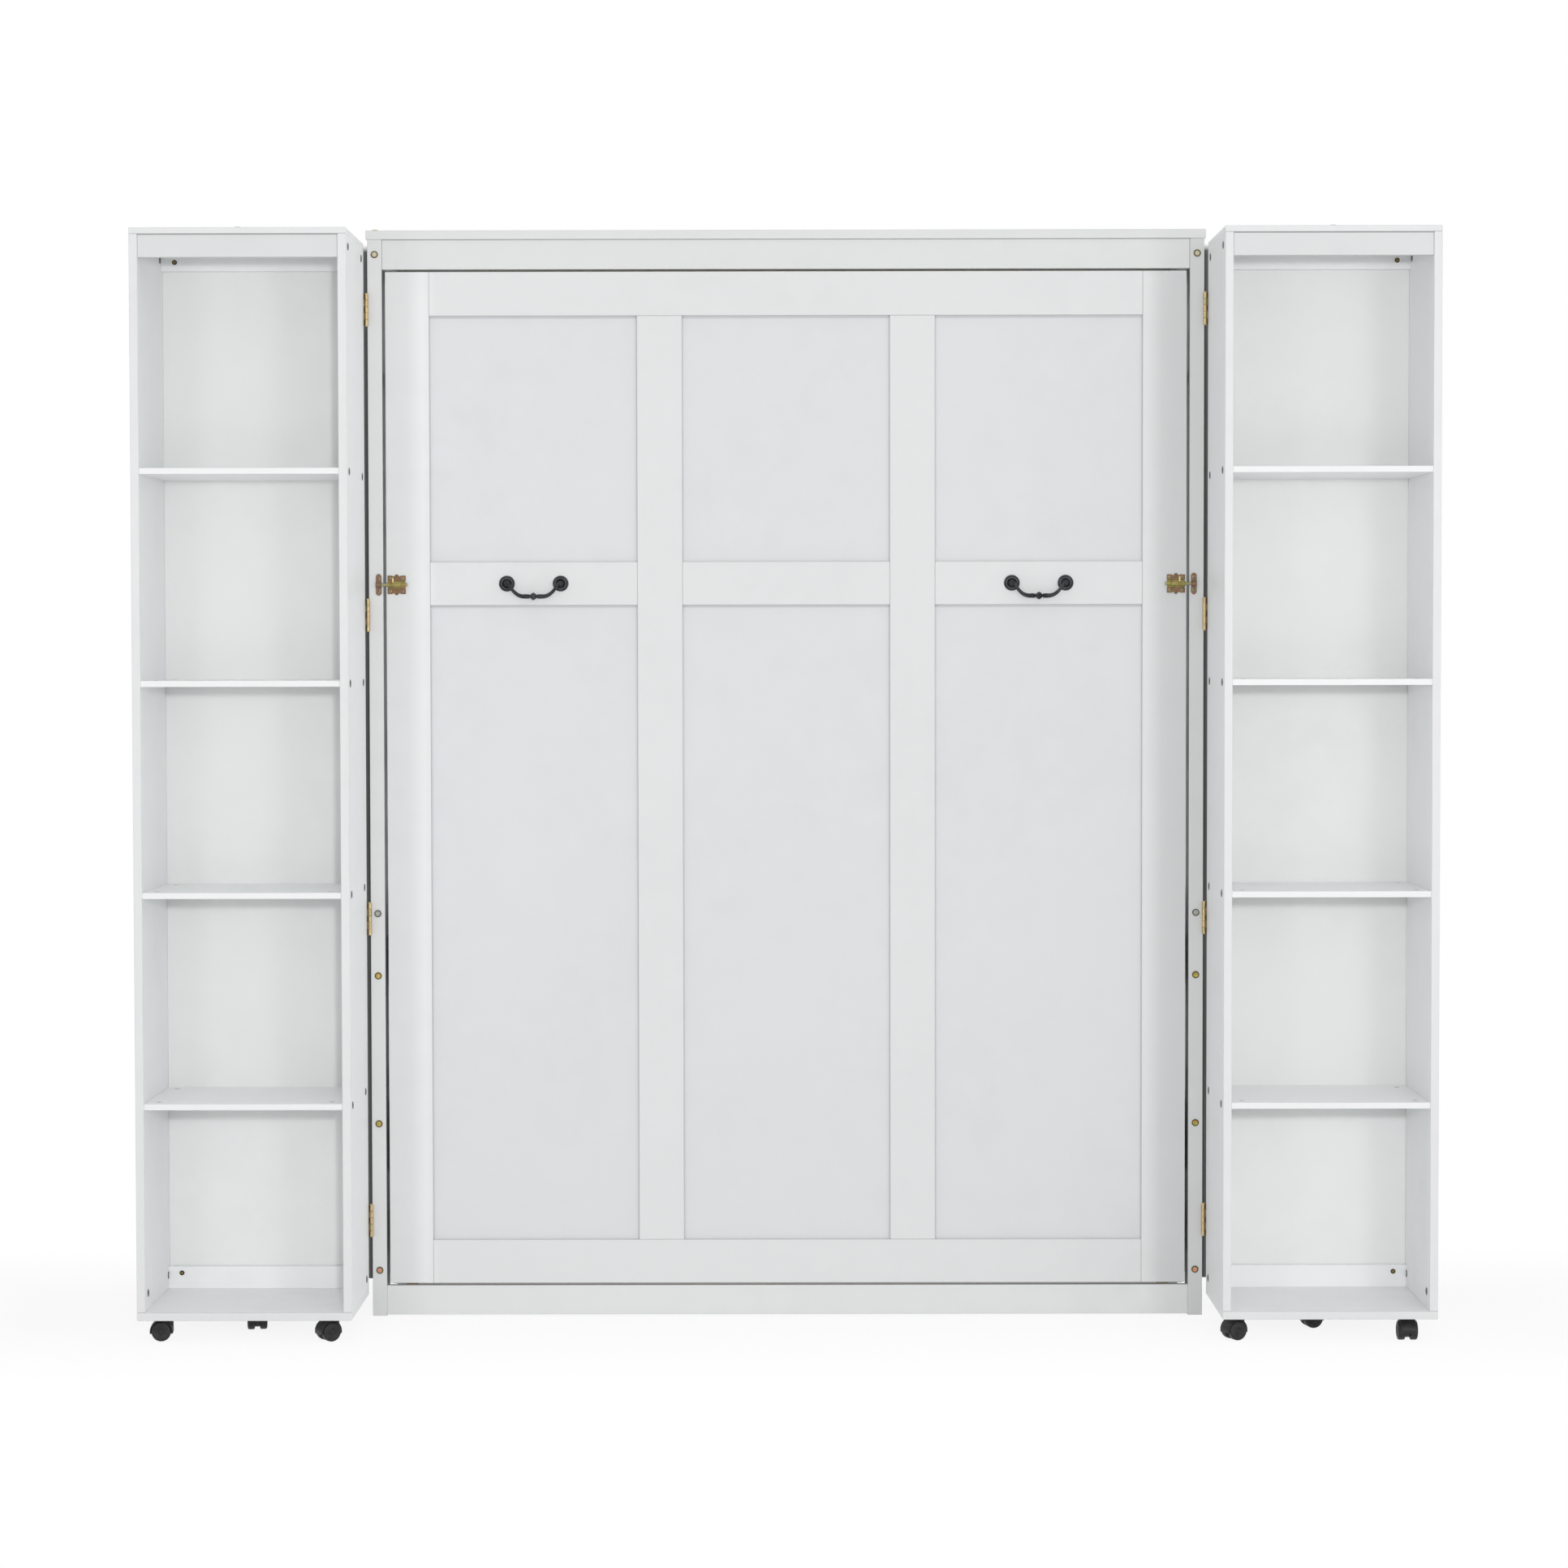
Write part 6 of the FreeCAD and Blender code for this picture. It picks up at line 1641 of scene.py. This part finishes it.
class WALLBED_OT_set_stage(bpy.types.Operator):
    """Set the floor, the lights and the camera"""
    bl_idname = "wallbed.set_stage"
    bl_label = "Stage"

    def execute(self, context):
        stage = context.scene.wall_bed_stage
        self.floor()
        self.wall()
        front = self.lamp("Front lamp", stage.front_lamp, stage.front_place, stage.front_size)
        front.visible_glossy = False
        across, back, up = stage.lamp_place
        self.lamp("Right lamp", stage.right_lamp, (across, back, up), stage.lamp_size)
        self.lamp("Left lamp", stage.left_lamp, (-across, back, up), stage.lamp_size)
        self.world(stage.room_light, stage.room_lean)
        pick()
        bpy.ops.object.camera_add(location=stage.camera_place, rotation=stage.camera_turn)
        camera = bpy.context.object
        camera.data.sensor_width = SENSOR_WIDTH
        camera.data.lens = stage.lens
        camera.data.clip_end = VIEW_END
        context.scene.camera = camera
        view = context.scene.view_settings
        view.view_transform = "Standard"
        return {"FINISHED"}

    def floor(self):
        """A white floor that keeps a faint shadow close to the bed."""
        pick()
        bpy.ops.mesh.primitive_plane_add(size=FLOOR_SIZE, location=(0, FLOOR_BACK, 0))
        floor = bpy.context.object
        floor.name = "floor"
        settle(floor)
        tree, shader, place = self.material(floor, "Floor", 0.85)
        tone = remap(tree, noise(tree, place, 1.2, 2.0), 0.3, 0.7, 0.90, 0.92)
        tree.links.new(tone, shader.inputs["Base Color"])
        parts = add_node(tree, "ShaderNodeSeparateXYZ", Vector=place)
        across = sums(tree, "SUBTRACT", sums(tree, "ABSOLUTE", parts.outputs["X"], 0.0), CASE_OUT)
        deep = sums(tree, "SUBTRACT", sums(tree, "ABSOLUTE", parts.outputs["Y"], 0.0), CASE_BACK)
        away = sums(tree, "MAXIMUM", across, deep)
        white = remap(tree, away, SHADOW_NEAR, SHADOW_FAR, SHADOW_WHITE, 1.0)
        self.seen_white(tree, shader, white)

    def wall(self):
        """Two strips of the wall, painted dark as shade where the bookcases keep the light off it.
        """
        high = CAD_BOX[1]
        pick()
        bpy.ops.mesh.primitive_plane_add(size=1, location=(0, high[1] + WALL_GAP, high[2] / 2),
                                         rotation=(pi / 2, 0, 0))
        wall = bpy.context.object
        wall.name = "wall"
        wall.scale = (2 * CASE_OUT + WALL_PAST, high[2] + WALL_OVER, 1)
        settle(wall)
        wall.visible_diffuse = False
        wall.visible_glossy = False
        wall.visible_transmission = False
        wall.visible_shadow = False
        tree, shader, place = self.material(wall, "Wall", 0.9)
        parts = add_node(tree, "ShaderNodeSeparateXYZ", Vector=place)
        across = sums(tree, "ABSOLUTE", parts.outputs["X"], 0.0)
        # Painted shade, darkest on the inside and lighter outwards.
        deep = remap(tree, across, DEEP_SHADE_AT, PALE_SHADE_AT, DEEP_SHADE_TONE, PALE_SHADE_TONE)
        patchy = remap(tree, noise(tree, place, 3.0, 2.0), 0.3, 0.7, 0.9, 1.1)
        tree.links.new(sums(tree, "MULTIPLY", deep, patchy), shader.inputs["Base Color"])
        outside = sums(tree, "MAXIMUM", remap(tree, across, STRIP_OUT, STRIP_OUT + STRIP_FADE),
                       remap(tree, across, STRIP_IN, STRIP_IN - STRIP_FADE))
        above = remap(tree, parts.outputs["Z"], high[2] + STRIP_TOP, high[2] + STRIP_TOP_END)
        rays = add_node(tree, "ShaderNodeLightPath")
        behind = add_node(tree, "ShaderNodeNewGeometry").outputs["Backfacing"]
        clear = add_node(tree, "ShaderNodeBsdfTransparent")
        gone = sums(tree, "MAXIMUM", behind, sums(tree, "MAXIMUM", outside, above))
        mixed = add_node(tree, "ShaderNodeMixShader", i0=gone)
        tree.links.new(shader.outputs[0], mixed.inputs[1])
        tree.links.new(clear.outputs[0], mixed.inputs[2])
        seen = add_node(tree, "ShaderNodeMixShader", i0=rays.outputs["Is Camera Ray"])
        tree.links.new(clear.outputs[0], seen.inputs[1])
        tree.links.new(mixed.outputs[0], seen.inputs[2])
        tree.links.new(seen.outputs[0], tree.nodes["Material Output"].inputs["Surface"])

    def material(self, piece, name, rough):
        """A new material on a piece: its tree, its shader and its place."""
        material = bpy.data.materials.new(name)
        material.use_nodes = True
        tree = material.node_tree
        shader = tree.nodes["Principled BSDF"]
        shader.inputs["Roughness"].default_value = rough
        place = add_node(tree, "ShaderNodeTexCoord")
        piece.data.materials.append(material)
        return tree, shader, place.outputs["Object"]

    def seen_white(self, tree, shader, share):
        """Mix plain white over a shader, for the rays that see the backdrop."""
        glow = add_node(tree, "ShaderNodeEmission", Color=(1, 1, 1, 1), Strength=1.0)
        mixed = add_node(tree, "ShaderNodeMixShader",
                         i0=sums(tree, "MULTIPLY", self.seeing(tree), share))
        tree.links.new(shader.outputs[0], mixed.inputs[1])
        tree.links.new(glow.outputs[0], mixed.inputs[2])
        tree.links.new(mixed.outputs[0], tree.nodes["Material Output"].inputs["Surface"])

    def seeing(self, tree):
        """One for the rays that the camera, gloss and glass send out."""
        rays = add_node(tree, "ShaderNodeLightPath")
        direct = sums(tree, "MAXIMUM", rays.outputs["Is Camera Ray"], rays.outputs["Is Glossy Ray"])
        return sums(tree, "MAXIMUM", direct, rays.outputs["Is Transmission Ray"])

    def lamp(self, name, power, place, size):
        """A round studio lamp turned to the middle of the bed."""
        pick()
        aim = (Vector(AIM) - Vector(place)).to_track_quat("-Z", "Y").to_euler()
        bpy.ops.object.light_add(type="AREA", location=place, rotation=aim)
        lamp = bpy.context.object
        lamp.name = name
        lamp.data.shape = "DISK"
        lamp.data.size = size
        lamp.data.energy = power
        return lamp

    def world(self, strength, lean):
        """White light all round, a little stronger from some sides, and seen as plain white."""
        world = bpy.data.worlds.new("Studio")
        bpy.context.scene.world = world
        world.use_nodes = True
        tree = world.node_tree
        toward = add_node(tree, "ShaderNodeTexCoord").outputs["Generated"]
        lit = add_node(tree, "ShaderNodeVectorMath", {"operation": "DOT_PRODUCT"}, i0=toward,
                       i1=lean).outputs["Value"]
        level = sums(tree, "ADD", lit, strength)
        plain = tree.nodes["Background"]
        plain.inputs["Color"].default_value = (1.0, 1.0, 1.0, 1)
        tree.links.new(level, plain.inputs["Strength"])
        white = add_node(tree, "ShaderNodeBackground", Color=(1, 1, 1, 1), Strength=1.0)
        mixed = add_node(tree, "ShaderNodeMixShader", i0=self.seeing(tree))
        tree.links.new(plain.outputs[0], mixed.inputs[1])
        tree.links.new(white.outputs[0], mixed.inputs[2])
        tree.links.new(mixed.outputs[0], tree.nodes["World Output"].inputs["Surface"])


OPERATORS = (
    WALLBED_OT_finish_boards,
    WALLBED_OT_make_bolts,
    WALLBED_OT_make_case_fixings,
    WALLBED_OT_make_handles,
    WALLBED_OT_make_latches,
    WALLBED_OT_make_hinges,
    WALLBED_OT_make_casters,
    WALLBED_OT_make_struts,
    WALLBED_OT_make_steelwork,
    WALLBED_OT_make_slat_screws,
    WALLBED_OT_set_stage,
)


class WALLBED_PT_panel(bpy.types.Panel):
    """The wall bed's pieces and settings"""
    bl_idname = "WALLBED_PT_panel"
    bl_label = "Wall bed"
    bl_space_type = "VIEW_3D"
    bl_region_type = "UI"
    bl_category = "Wall bed"

    def draw(self, context):
        for operator in OPERATORS:
            self.layout.operator(operator.bl_idname)
        for name in SETTINGS:
            group = getattr(context.scene, name)
            box = self.layout.box()
            for field in group.__annotations__:
                box.prop(group, field)


CLASSES = tuple(SETTINGS.values()) + OPERATORS + (WALLBED_PT_panel,)


def register():
    """Register the settings, the operators and the panel."""
    for item in CLASSES:
        bpy.utils.register_class(item)
    for name, group in SETTINGS.items():
        setattr(bpy.types.Scene, name, PointerProperty(type=group))


def unregister():
    """Take them away again, the last first."""
    for name in SETTINGS:
        delattr(bpy.types.Scene, name)
    for item in reversed(CLASSES):
        bpy.utils.unregister_class(item)


def main():
    """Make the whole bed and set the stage."""
    register()
    bpy.ops.wallbed.finish_boards()
    bpy.ops.wallbed.make_bolts()
    bpy.ops.wallbed.make_case_fixings()
    bpy.ops.wallbed.make_handles()
    bpy.ops.wallbed.make_latches()
    bpy.ops.wallbed.make_hinges()
    bpy.ops.wallbed.make_casters()
    bpy.ops.wallbed.make_struts()
    bpy.ops.wallbed.make_steelwork()
    bpy.ops.wallbed.make_slat_screws()
    bpy.ops.wallbed.set_stage()


if __name__ == "__main__":
    main()
